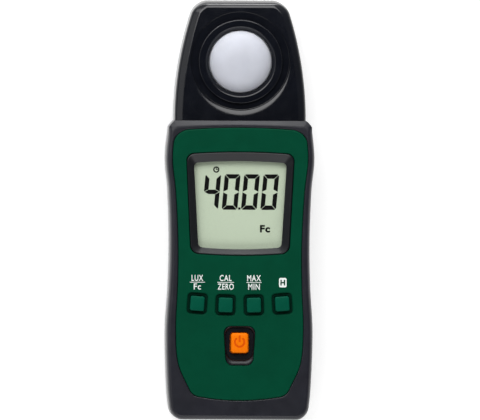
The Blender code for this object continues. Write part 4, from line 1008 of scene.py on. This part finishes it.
# Moulded materials: colour, roughness, specular level, drift of colour, and size and depth of the grain
MOULDED = {
    "black_plastic": ((0.0036, 0.0045, 0.0080), 0.17, 0.50, 0.10, 0.00022, 0.000003),
    "green_plastic": ((0.0003, 0.0550, 0.0265), 0.50, 0.04, 0.05, 0.00018, 0.000005),
    # The key wells' green: the face's green made darker, as painted shade in the wells.
    "well_green_painted_shade": ((0.0003, 0.0200, 0.0110), 0.55, 0.04, 0.05, 0.00018, 0.000005),
    "green_key": ((0.0003, 0.0760, 0.0430), 0.45, 0.05, 0.05, 0.00015, 0.000004),
    "orange_key": ((0.920, 0.188, 0.001), 0.45, 0.05, 0.03, 0.00015, 0.000004),
    "dark_orange": ((0.740, 0.100, 0.001), 0.50, 0.05, 0.03, 0.00015, 0.000002),
    "dark_plastic": ((0.0032, 0.0040, 0.0065), 0.30, 0.35, 0.10, 0.00015, 0.000003),
    "white_plastic": ((0.64, 0.66, 0.68), 0.50, 0.50, 0.03, 0.00020, 0.000004),
    "white_ink": ((0.84, 0.88, 0.86), 0.55, 0.20, 0.03, 0.00010, 0.000002),
    "dark_ink": ((0.002, 0.002, 0.002), 0.60, 0.10, 0.10, 0.00010, 0.000001),
    "green_ink": ((0.001, 0.045, 0.024), 0.60, 0.10, 0.10, 0.00010, 0.000001),
    "green_glass": ((0.15, 0.42, 0.20), 0.10, 0.50, 0.10, 0.00100, 0.000001),
    "soft_black_rubber": ((0.0085, 0.0090, 0.0155), 0.36, 0.48, 0.10, 0.00030, 0.000006),
}
LOOKS = {name: moulded(name, *values) for name, values in MOULDED.items()}
LOOKS["black_rubber"] = rubber_material(LOOKS["soft_black_rubber"])
LOOKS["opal_plastic"] = opal_material()
LOOKS["display"] = display_material()
LOOKS["clear_window"] = window_material()
LOOKS["steel"] = steel_material()
LOOKS["circuit_board"] = board_material()
LOOKS["cell"] = cell_material()


# Case

def rim_ring(inset, drop):
    """A ring of the rim's rounded edge, which turns into a flat slope along the shoulder."""
    share = inset / RIM_ROUND_WIDTH
    slope = SHOULDER_SLOPE * max(1 - share / SHOULDER_SHARE, 0.0)
    ring = []
    for x, y in body_outline(inset, SHOULDER_CROWN * share):
        near = (y - SHOULDER_Y + SHOULDER_BLEND) / (SHOULDER_BLEND - SHOULDER_DROP)
        near = min(max(near, 0.0), 1.0)
        ring.append((x, y, RIM_LEVEL - drop - near * (slope - drop)))
    return ring


def make_grip():
    rings = stack(body_outline, (RUBBER, FRONT_LOW))
    rings += foot_rings(body_outline, SEAM_ROUND, FRONT_LOW)
    rings += [rim_ring(inset, drop) for inset, drop in quarter_round(RIM_ROUND_WIDTH, RIM_ROUND_HEIGHT)]
    rings += reversed(top_rings(rim_opening, RIM_INNER_ROUND, RIM_LEVEL))
    rings += stack(rim_opening, (0, LEDGE + FIT))
    rings += stack(body_outline, (RUBBER, LEDGE + FIT))
    dress(loft("rubber_grip", rings, loop=True), "housing", "black_rubber", "grip_overmould")


def head_face(y):
    """Level of the head's face at y: it falls towards the top."""
    return HEAD_FACE_AT_SHOULDER - HEAD_SLOPE * (y - SHOULDER_Y)


def bevel_path(draft, bevel, rounds):
    """Inset and drop along the head's side and bevel, both creases rounded."""
    start = (draft / HEAD_BEVEL_START, HEAD_BEVEL_START * HEAD_BEVEL_HEIGHT)
    bend = (draft, HEAD_BEVEL_HEIGHT)
    crest = (draft + bevel, 0.0)
    flat = (draft + 2 * bevel, 0.0)
    edge_round, crest_round = rounds
    return [start, *softened([start, bend, crest], edge_round), *softened([bend, crest, flat], crest_round)]


def bevel_ring(side, top):
    """A ring of the head's bevel: the side's form passes into the top's round the corners."""
    ring = []
    for x, y in head_outline(side[0], top[0]):
        near = min(max(1 - (TOP_Y - y) / HEAD_CORNER_RADIUS, 0.0), 1.0)
        drop = side[1] + (top[1] - side[1]) * near
        ring.append((x, y, head_face(y) - drop))
    return ring


def dish_profile():
    """A flat floor, a low wall, then a gentle slope out to the face."""
    wall_top = DISH_FLOOR + DISH_WALL
    profile = [(DISH_RADIUS - DISH_FOOT_ROUND, DISH_FLOOR)]
    for inset, drop in quarter_round(DISH_FOOT_ROUND, DISH_FOOT_ROUND, SMALL_STEPS):
        profile.append((DISH_RADIUS - drop, DISH_FLOOR + inset))
    profile.append((DISH_RADIUS + DISH_LEAN, wall_top))
    profile.append((DISH_RADIUS + DISH_LEAN + REACH / DISH_SLOPE, wall_top + REACH))
    return profile


def make_head_cover():
    """Sides that lean in, a bevel round the face, and a dish round the sensor."""
    wall = SKIRT + TONGUE_WALL
    rings = stack(head_outline, (wall, HEAD_CEILING), (wall, TONGUE_LOW))
    rings += stack(head_outline, (SKIRT, TONGUE_LOW), (SKIRT, FRONT_LOW))
    rings += stack(head_outline, (SEAM_ROUND, FRONT_LOW), (0.0, FRONT_LOW + SEAM_ROUND))
    side_path = bevel_path(HEAD_SIDE_DRAFT, HEAD_SIDE_BEVEL, HEAD_SIDE_ROUNDS)
    top_path = bevel_path(HEAD_TOP_DRAFT, HEAD_TOP_BEVEL, HEAD_TOP_ROUNDS)
    rings += [bevel_ring(side, top) for side, top in zip(side_path, top_path)]
    cover = loft("head_front", rings)
    end = SHOULDER_Y + HEAD_END_GAP
    cut(cover, slab("head_end", HEAD_CUT_HALF, end - HEAD_CUT_LENGTH, end, 0, FACE + REACH))
    hole = [(SENSOR_HOLE, HEAD_CEILING - REACH), (SENSOR_HOLE, FACE)]
    cut(cover, turned("sensor_hole", hole, (0, SENSOR_Y)))
    cut(cover, turned("dish", dish_profile(), (0, SENSOR_Y + DISH_SHIFT)))
    dress(cover, "housing", "black_plastic", "head_cover")


def make_front_shell():
    rings = stack(face_outline, (SHELL_WALL, FACE_LOW), (SHELL_WALL, LEDGE - SHELL_WALL))
    rings += stack(body_outline, (SKIRT_INNER, LEDGE - SHELL_WALL), (SKIRT_INNER, TONGUE_LOW))
    rings += stack(body_outline, (SKIRT, TONGUE_LOW), (SKIRT, LEDGE))
    rings += stack(face_outline, (0, LEDGE))
    rings += top_rings(face_outline, FACE_EDGE, FACE)
    shell = loft("green_front", rings)
    cut(shell, flared_hole("display_hole", bezel_hole, LEDGE - REACH, FACE, BEZEL_EDGE))
    for name in KEY_NAMES:
        place, turn = key_place(name)
        well = partial(grown_key, KEY_WELL_SIZE, place=place, turn=turn)
        cut(shell, flared_hole(f"well_{name}", well, FACE_LOW - OVERLAP, FACE, KEY_WELL_FLARE))
    cut(shell, flared_hole("well_power", power_well, FACE_LOW - OVERLAP, FACE, BEZEL_EDGE))
    dress(shell, "housing", "green_plastic", "front_shell")


# Light sensor

def make_collar():
    """A ring whose inner slope leads down to the dome, on a neck through the head's face."""
    crest = COLLAR_SEAT + COLLAR_HEIGHT
    lip = DOME_RADIUS + FIT
    outer = DOME_RADIUS + COLLAR_WIDTH
    neck = SENSOR_HOLE - FIT
    path = [
        (lip, COLLAR_SEAT + COLLAR_ROUND),
        (DOME_RADIUS + COLLAR_SLOPE, crest),
        (outer, crest),
        (outer, COLLAR_SEAT),
    ]
    profile = [path[0], *softened(path, COLLAR_ROUND), path[-1]]
    profile += [(neck, COLLAR_SEAT), (neck, low("sensor_collar").z), (lip, DOME_FLANGE_TOP + FIT)]
    collar = turned("dome_collar", profile, (0, SENSOR_Y), loop=True)
    dress(collar, "housing", "black_plastic", "sensor_collar")


def dome_arc(radius, height, base):
    """A dome's profile from near its top to its edge, flatter than a ball's and steep at the edge."""
    points = []
    for step in range(1, DOME_STEPS + 1):
        share = math.sin(math.pi / 2 * step / DOME_STEPS)
        points.append((radius * share, base + height * (1 - share ** DOME_FLATNESS) ** DOME_EDGE))
    return points


def make_dome():
    """A hollow dome on a flange behind the collar."""
    base = COLLAR_SEAT + COLLAR_ROUND
    flange_low = low("sensor_dome").z
    flange = DOME_RADIUS + COLLAR_GROOVE - FIT
    inner = DOME_RADIUS - DOME_WALL
    profile = dome_arc(DOME_RADIUS, DOME_HEIGHT, base)
    profile += [(DOME_RADIUS, DOME_FLANGE_TOP), (flange, DOME_FLANGE_TOP)]
    profile += [(flange, flange_low), (inner, flange_low)]
    profile += reversed(dome_arc(inner, DOME_HEIGHT - DOME_WALL / 2, base - DOME_WALL / 2))
    dome = turned("light_dome", profile, (0, SENSOR_Y))
    dress(dome, "housing", "opal_plastic", "sensor_dome")


# Display

def make_display_frame():
    """The sloping bezel, and the window in a pocket behind its lip."""
    slope_low = FACE - BEZEL_DEPTH
    lip_low = slope_low - BEZEL_LIP
    flange_low, flange_top = low("lcd_bezel").z, FACE_LOW - FIT
    pocket = WINDOW_FLANGE + FIT
    rings = stack(bezel_outline, (BEZEL_FLANGE, flange_low), (BEZEL_FLANGE, flange_top), (0, flange_top))
    rings += top_rings(lambda inset: bezel_outline(-inset), BEZEL_EDGE, FACE)
    for inset, drop in quarter_round(BEZEL_EDGE, BEZEL_EDGE, SMALL_STEPS):
        rings += stack(window_outline, (BEZEL_EDGE - drop, slope_low - inset + BEZEL_EDGE))
    rings += stack(window_outline, (0, lip_low), (pocket, lip_low), (pocket, flange_low))
    bezel = loft("display_bezel", rings, loop=True)
    dress(bezel, "housing", "dark_plastic", "lcd_bezel")
    window_low, window_top = low("lcd_window").z, high("lcd_window").z
    window = prism("display_window", window_outline(WINDOW_FLANGE), window_low, window_top)
    dress(window, "housing", "clear_window", "lcd_window")


def digit_shapes(lit, x):
    """The lit segments of one leaning digit, lettered clockwise from the top with g in the middle."""
    wide, tall, thick, gap, bend = DIGIT_WIDTH, DIGIT_HEIGHT, DIGIT_STROKE, DIGIT_GAP, DIGIT_BEND
    inner = thick + gap
    half = tall / 2
    waist = thick / 2
    top = [(gap + bend, tall), (wide - gap - bend, tall)]
    top += [(wide - gap - bend / 2, tall - bend / 2), (wide - inner, tall - thick)]
    top += [(inner, tall - thick), (gap + bend / 2, tall - bend / 2)]
    upper = [(bend / 2, tall - gap - bend / 2), (thick, tall - inner)]
    upper += [(thick, half + waist + gap), (0, half + gap), (0, tall - gap - bend)]
    bar = [(2 * gap, half), (inner, half + waist), (wide - inner, half + waist)]
    bar += [(wide - px, tall - py) for px, py in bar]
    outlines = {
        "a": top,
        "b": [(wide - px, py) for px, py in upper],
        "c": [(wide - px, tall - py) for px, py in upper],
        "d": [(px, tall - py) for px, py in top],
        "e": [(px, tall - py) for px, py in upper],
        "f": upper,
        "g": bar,
    }
    shapes = []
    for letter in lit:
        shapes.append([(x + px + py * DIGIT_SLANT, DIGIT_BASE_Y + py) for px, py in outlines[letter]])
    return shapes


def clock_parts(bottom, top):
    """The small clock that shows automatic power-off."""
    x, y = CLOCK_PLACE
    hand = CLOCK_HAND / 2
    inner = CLOCK_RADIUS - CLOCK_LINE
    ring = [(CLOCK_RADIUS, bottom), (CLOCK_RADIUS, top), (inner, top), (inner, bottom)]
    return [
        turned("clock_ring", ring, CLOCK_PLACE, loop=True),
        block("clock_hand", (x - hand, y, bottom), (x + hand, y + CLOCK_LONG_HAND, top)),
        block("clock_hand", (x, y - hand, bottom), (x + CLOCK_SHORT_HAND, y + hand, top)),
    ]


def make_reading():
    """Forty and two noughts after the point, with its unit and the clock."""
    bottom, top = DISPLAY_TOP, DISPLAY_TOP + INK
    parts = []
    for index, lit in enumerate((FOUR, NOUGHT, NOUGHT, NOUGHT)):
        shapes = digit_shapes(lit, FIRST_DIGIT_X + index * DIGIT_PITCH)
        parts += [prism("segment", shape, bottom, top) for shape in shapes]
    point = rounded_rectangle(POINT_SIZE, POINT_SIZE, POINT_CORNER, centre=POINT_PLACE)
    parts.append(prism("point", point, bottom, top))
    parts.append(lettering("Fc", UNIT_PLACE, UNIT_HEIGHT, bottom, top, UNIT_WIDTH, UNIT_BOLD))
    parts += clock_parts(bottom, top)
    dress(joined("display_reading", parts), "housing", "display", look="dark_ink")


# Keys

def key_cap(name, size, edge, place, turn=0.0):
    """A cap with a rounded edge and a slightly domed top, on a flange behind the face."""
    width, height, corner = size
    bottom = low(f"key_{name}").z
    flange_top = bottom + KEY_FLANGE
    edge_top = high(f"key_{name}").z - KEY_CROWN
    span = (width / 2 - edge) * KEY_CROWN_SPAN

    def outline(shrink):
        bend = max(corner - shrink / 2, corner / 2)
        return rounded_rectangle(width - 2 * shrink, height - 2 * shrink, bend, CORNER_STEPS, place, turn)

    rings = stack(outline, (-KEY_FLANGE_MARGIN, bottom), (-KEY_FLANGE_MARGIN, flange_top), (0, flange_top))
    rings += top_rings(outline, edge, edge_top)
    for step in range(1, ROUND_STEPS):
        share = step / ROUND_STEPS
        rings += stack(outline, (edge + span * share, edge_top + KEY_CROWN * (1 - (1 - share) ** 2)))
    return loft(f"{name}_cap", rings)


def make_square_keys():
    """Four green caps, and liners on the floors of their wells, in a darker green that is painted shade."""
    liners = []
    for name in KEY_NAMES:
        place, turn = key_place(name)
        cap = key_cap(name, KEY_SIZE, KEY_EDGE, place, turn)
        dress(cap, f"{name}_key", "green_key", f"key_{name}")
        well = grown_key(KEY_WELL_SIZE, 0, place, turn)
        liner = prism(f"liner_{name}", well, FACE_LOW, FACE - KEY_WELL_DEPTH)
        hole = grown_key(KEY_SIZE, FIT, place, turn)
        cut(liner, prism("liner_hole", hole, FACE_LOW - REACH, FACE))
        liners.append(liner)
    # The liners take the darker green, painted shade in the wells, on the slot of the green plastic.
    dress(joined("key_well_liners", liners), "housing", "green_plastic", look="well_green_painted_shade")


def power_symbol():
    """The open ring of the power symbol, and its stem."""
    x, y = power_place()
    y += SYMBOL_LIFT
    ring = []
    for step in range(SYMBOL_STEPS + 1):
        angle = SYMBOL_OPENING + (2 * math.pi - 2 * SYMBOL_OPENING) * step / SYMBOL_STEPS
        ring.append((x + SYMBOL_RADIUS * math.sin(angle), y + SYMBOL_RADIUS * math.cos(angle)))
    return {"arc": ring, "stem": [(x, y), (x, y + SYMBOL_STEM)]}


def make_power_key():
    """An orange cap with the power symbol inlaid in it."""
    top = high("key_power").z
    inlay_low = top - SYMBOL_DEPTH
    inlay_top = top - KEY_CROWN - SYMBOL_INLAY
    cap = key_cap("power", POWER_SIZE, POWER_EDGE, power_place())
    inlays = []
    for name, line in power_symbol().items():
        cut(cap, stroke(f"symbol_{name}", line, SYMBOL_LINE, inlay_low, top + REACH))
        inlays.append(stroke(f"inlay_{name}", line, SYMBOL_LINE, inlay_low, inlay_top))
    dress(cap, "power_key", "orange_key", "key_power")
    dress(joined("power_symbol", inlays), "power_key", "orange_key", look="dark_orange")


def make_power_bezel():
    """The dark lining of the power key's well, with a scoop below the key for the thumb."""

    def outline(share):
        """The well's outline: share runs from none at the face to all at the floor."""
        corner = POWER_WELL_CORNER + (POWER_SCOOP_CORNER - POWER_WELL_CORNER) * share
        return power_outline(POWER_WELL_RIM * share, POWER_WELL_SCOOP * share, corner)

    lining = prism("power_well_lining", outline(0), FACE_LOW, FACE)
    well = stack(outline, *[(1 - inset, FACE - drop) for inset, drop in quarter_round(1, POWER_WELL_DEPTH)])
    well += stack(outline, (0, FACE + REACH))
    cut(lining, loft("power_well", well))
    hole = grown_key(POWER_SIZE, FIT, power_place())
    cut(lining, prism("power_hole", hole, FACE_LOW - REACH, FACE + REACH))
    dress(lining, "housing", "dark_plastic", "power_key_bezel")


def make_legends():
    """What the keys do, printed above them."""
    bottom, top = FACE - INK, FACE + INK
    line_low, line_high = LEGEND_LINE_Y - LEGEND_LINE / 2, LEGEND_LINE_Y + LEGEND_LINE / 2
    parts = []
    for name, (upper, lower, length) in LEGENDS.items():
        x = middle(f"key_{name}").x
        for (word, width), y in ((upper, LEGEND_UPPER_Y), (lower, LEGEND_LOWER_Y)):
            parts.append(lettering(word, (x, y), LEGEND_HEIGHT, bottom, top, width))
        parts.append(block("line", (x - length / 2, line_low, bottom), (x + length / 2, line_high, top)))
    place = (middle("key_hold").x + HOLD_BOX_SHIFT, HOLD_BOX_Y)
    box = rounded_rectangle(*HOLD_BOX, HOLD_BOX_CORNER, centre=place)
    parts.append(prism("hold_box", box, bottom, top))
    dress(joined("key_legends", parts), "housing", "white_plastic", look="white_ink")
    letter_size = {"width": HOLD_LETTER_WIDTH, "bold": HOLD_LETTER_BOLD}
    letter = lettering("H", place, HOLD_LETTER_HEIGHT, bottom, top + INK, **letter_size)
    dress(letter, "housing", "green_plastic", look="green_ink")


# Back and batteries

def add_screw_boss(shell, screw):
    """A post for one case screw, and the well for its head in the back."""
    centre = middle(screw)
    place = (centre.x, centre.y)
    seat = low(screw).z + SCREW_HEAD_HEIGHT + FIT
    counterbore = high(screw).x - centre.x + FIT
    foot_radius = counterbore + BAY_WALL
    foot = turned("boss_foot", [(foot_radius, BACK_MIDDLE), (foot_radius, seat + BAY_WALL)], place)
    post = turned("boss_post", [(BOSS_RADIUS, BACK_MIDDLE), (BOSS_RADIUS, TONGUE_LOW - FIT)], place)
    unite(shell, foot, post)
    well = [(SCREW_BORE, PART_LINE + REACH), (SCREW_BORE, seat), (counterbore, seat)]
    for inset, drop in quarter_round(SEAM_ROUND, SEAM_ROUND, SMALL_STEPS):
        well.append((counterbore + inset, drop))
    well.append((counterbore + SEAM_ROUND, -REACH))
    cut(shell, turned("screw_well", well, place))


def make_rear_shell():
    """The back half of the case, with the battery bay and the screw bosses."""
    rings = foot_rings(case_outline, BACK_ROUND, 0, ROUND_STEPS)
    rings += top_rings(case_outline, SEAM_ROUND, PART_LINE)
    rings += stack(case_outline, (RUBBER, PART_LINE), (RUBBER, BACK_ROUND), (BACK_ROUND, SHELL_WALL))
    shell = loft("rear_case", rings)
    base_half = high("battery_door").x + FIT + BAY_WALL
    base_top = high("battery_door").z + FIT + BAY_WALL
    door_top = high("battery_door").y + FIT
    bay_half = high("battery_right").x + FIT
    bay_low = low("link_contact").y - FIT
    bay_high = high("positive_contact").y + FIT
    base = slab("bay_base", base_half, BOTTOM_Y + RUBBER - FIT, door_top + BAY_WALL, BACK_MIDDLE, base_top)
    box_ends = (bay_low - BAY_WALL, bay_high + BAY_WALL)
    box = slab("bay_box", bay_half + BAY_WALL, *box_ends, BACK_MIDDLE, BAY_ROOF)
    unite(shell, base, box)
    for number in range(1, SCREWS + 1):
        add_screw_boss(shell, f"case_screw_{number}")
    cut(shell, door_bar("door_recess", FIT, BOTTOM_Y - REACH, door_top, -REACH))
    cut(shell, slab("bay_cavity", bay_half, bay_low, bay_high, 0, BAY_ROOF - BAY_WALL))
    dress(shell, "housing", "black_plastic", "rear_shell")


def door_bar(name, grow, first, last, bottom):
    """The door's cross-section run along Y, or its recess when grown by the clearance."""
    top = high("battery_door").z + grow
    step = high("battery_door").z - DOOR_TONGUE_THICKNESS - grow
    tongue = high("battery_door").x + grow
    plate = tongue - DOOR_TONGUE
    right = [(plate, bottom), (plate, step), (tongue, step), (tongue, top)]
    section = right + [(-x, z) for x, z in reversed(right)]
    return loft(name, [[(x, y, z) for x, z in section] for y in (first, last)])


def finger_ridge(middle_y, level):
    """The cutter of one groove across the door."""
    section = []
    for step in range(RIDGE_STEPS):
        angle = 2 * math.pi * step / RIDGE_STEPS
        y = middle_y + DOOR_RIDGE_HALF * math.cos(angle)
        section.append((y, level + DOOR_RIDGE_DEPTH * math.sin(angle)))
    ends = (-DOOR_RIDGE_LENGTH / 2, DOOR_RIDGE_LENGTH / 2)
    return loft("ridge", [[(x, y, z) for y, z in section] for x in ends])


def make_battery_door():
    """Finger ridges at its end, and an arrow that shows which way it slides."""
    first, last = low("battery_door").y, high("battery_door").y
    bottom = low("battery_door").z
    door = door_bar("bay_door", 0.0, first, last, bottom)
    for ridge in range(DOOR_RIDGES):
        cut(door, finger_ridge(first + (ridge + DOOR_FIRST_RIDGE) * DOOR_RIDGE_PITCH, bottom))
    tip_y = first + (DOOR_RIDGES + DOOR_FIRST_RIDGE + 1) * DOOR_RIDGE_PITCH
    arrow = [(0, tip_y), (ARROW_SIZE, tip_y + ARROW_SIZE), (-ARROW_SIZE, tip_y + ARROW_SIZE)]
    cut(door, prism("arrow", arrow, bottom - REACH, bottom + ARROW_DEPTH))
    bevel = door.modifiers.new("edges", "BEVEL")
    bevel.width = DOOR_EDGE
    bevel.segments = DOOR_EDGE_STEPS
    bevel.limit_method = "ANGLE"
    dress(door, "door", "black_plastic", "battery_door")


def cell_profile(radius, length):
    """Radius and height of a cell from its flat end to the tip of its nub."""
    shoulder = length - CELL_NUB_LENGTH
    edge = quarter_round(CELL_EDGE, CELL_EDGE, SMALL_STEPS)
    profile = [(CELL_END_RADIUS, 0), (CELL_END_RADIUS + CELL_LIP, CELL_LIP)]
    profile += [(radius - inset, drop) for inset, drop in reversed(edge)]
    profile += [(radius - inset, shoulder - drop) for inset, drop in edge]
    profile.append((CELL_NUB_RADIUS, shoulder - CELL_LIP))
    for inset, drop in quarter_round(CELL_LIP, CELL_LIP, SMALL_STEPS):
        profile.append((CELL_NUB_RADIUS - inset, length - drop))
    return profile


def make_cells():
    """Two cells side by side, their nubs at opposite ends."""
    for node, turn in (("battery_left", -math.pi / 2), ("battery_right", math.pi / 2)):
        corner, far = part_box(node)
        cell = turned(f"cell_{node}", cell_profile((far.x - corner.x) / 2, far.y - corner.y), (0, 0))
        start = corner.y if turn < 0 else far.y
        cell.location = ((corner.x + far.x) / 2, start, (corner.z + far.z) / 2)
        cell.rotation_euler = (turn, 0, 0)
        dress(cell, "housing", "cell", node)


def make_spring(node, cell, direction):
    """A tapered coil, wound from the contact to the cell's flat end."""
    corner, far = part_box(node)
    base = corner.y if direction > 0 else far.y
    lift = far.y - corner.y - SPRING_WIRE
    centre = middle(cell)
    points = []
    count = int(SPRING_TURNS * SPRING_POINTS)
    for index in range(count + 1):
        share = index / count
        angle = 2 * math.pi * SPRING_TURNS * share
        radius = SPRING_RADIUS + (SPRING_TIP_RADIUS - SPRING_RADIUS) * share
        y = base + direction * (SPRING_WIRE / 2 + lift * share)
        points.append((centre.x + radius * math.cos(angle), y, centre.z + radius * math.sin(angle)))
    dress(wire(f"coil_{node}", points, SPRING_WIRE / 2), "housing", "steel", node)


def finish_carried_nodes():
    """Nodes that stay as they are take the material of their slot."""
    slots = ("black_plastic", "dark_plastic", "white_plastic", "green_glass")
    slots += ("circuit_board", "steel", "display")
    for subpart in frame["record"]["subparts"]:
        if subpart["material_slot"] in slots:
            mesh = bpy.data.objects[subpart["node"]].data
            mesh.materials.clear()
            mesh.materials.append(LOOKS[subpart["material_slot"]])


# Light, floor and camera

def make_world():
    """A pale room, dark overhead and brighter beyond the meter's ends than beyond its sides."""
    SCENE.world = bpy.data.worlds.new("studio")
    SCENE.world.use_nodes = True
    background = SCENE.world.node_tree.nodes["Background"]
    split = add_node(background, "SeparateXYZ", Vector=coordinates(background, "Generated"))
    greys = ((1, 1, 1), (WORLD_ZENITH, WORLD_ZENITH, WORLD_ZENITH))
    ends = calculated("POWER", split.outputs["Y"], 2)
    set_inputs(background, Color=ramp(split.outputs["Z"], zip(WORLD_STOPS, greys)))
    set_inputs(background, Strength=mapped(ends, To_Min=WORLD_SIDES, To_Max=WORLD_ENDS))


def add_softbox(name, place, size, power):
    """A soft rectangular lamp that faces the meter."""
    lamp = bpy.data.lights.new(name, "AREA")
    lamp.shape = "RECTANGLE"
    lamp.size, lamp.size_y = size
    lamp.energy = power
    obj = add_object(name, lamp)
    obj.location = place
    obj.rotation_euler = Vector(place).to_track_quat("Z", "Y").to_euler()


def make_floor():
    """A pale sheet that looks white, also in reflections, and still takes the meter's shadow."""
    underside = FLOOR_LEVEL - FLOOR_THICKNESS
    floor = slab("floor", FLOOR_HALF, -FLOOR_HALF, FLOOR_HALF, underside, FLOOR_LEVEL)
    material, shader = new_material("white_sheet", (0.70, 0.70, 0.70), roughness=0.9, specular=0.0)
    rays = add_node(shader, "LightPath").outputs
    seen = rays["Is Camera Ray"]
    for kind in ("Is Glossy Ray", "Is Transmission Ray"):
        seen = calculated("MAXIMUM", seen, rays[kind])
    glow = calculated("MULTIPLY", seen, FLOOR_GLOW)
    set_inputs(shader, Emission_Color=(1, 1, 1, 1), Emission_Strength=glow)
    floor.data.materials.append(material)


def make_camera():
    """A camera almost straight above the face, a little to its left and towards its head."""
    camera = bpy.data.cameras.new("camera")
    camera.type = "ORTHO"
    camera.ortho_scale = IMAGE_WIDTH
    obj = add_object("camera", camera)
    away = Vector((-math.tan(CAMERA_LEFT), math.tan(CAMERA_UP), 1)).normalized()
    right = Vector((math.cos(CAMERA_ROLL), math.sin(CAMERA_ROLL), 0))
    up = away.cross(right).normalized()
    turn = Matrix((up.cross(away), up, away)).transposed().to_4x4()
    target = Vector((*CAMERA_TARGET, PART_LINE))
    obj.matrix_world = Matrix.Translation(target + away * CAMERA_DISTANCE) @ turn
    SCENE.camera = obj


make_rear_shell()
make_grip()
make_head_cover()
make_front_shell()
make_collar()
make_dome()
make_display_frame()
make_reading()
make_square_keys()
make_power_key()
make_power_bezel()
make_legends()
make_battery_door()
make_cells()
make_spring("link_spring", "battery_left", direction=1)
make_spring("negative_spring", "battery_right", direction=-1)
finish_carried_nodes()
make_world()
add_softbox("key_softbox", place=(-0.12, 0.56, 0.89), size=(1.0, 0.6), power=7.9)
add_softbox("side_softbox", place=(-0.78, 0.05, 0.80), size=(0.8, 0.5), power=0.95)
add_softbox("fill_softbox", place=(0.05, -0.70, 0.75), size=(1.0, 0.5), power=2.8)
add_softbox("back_softbox", place=(-0.10, 1.20, 0.11), size=(1.4, 0.18), power=7.4)
make_floor()
make_camera()
SCENE.view_settings.view_transform = "Standard"
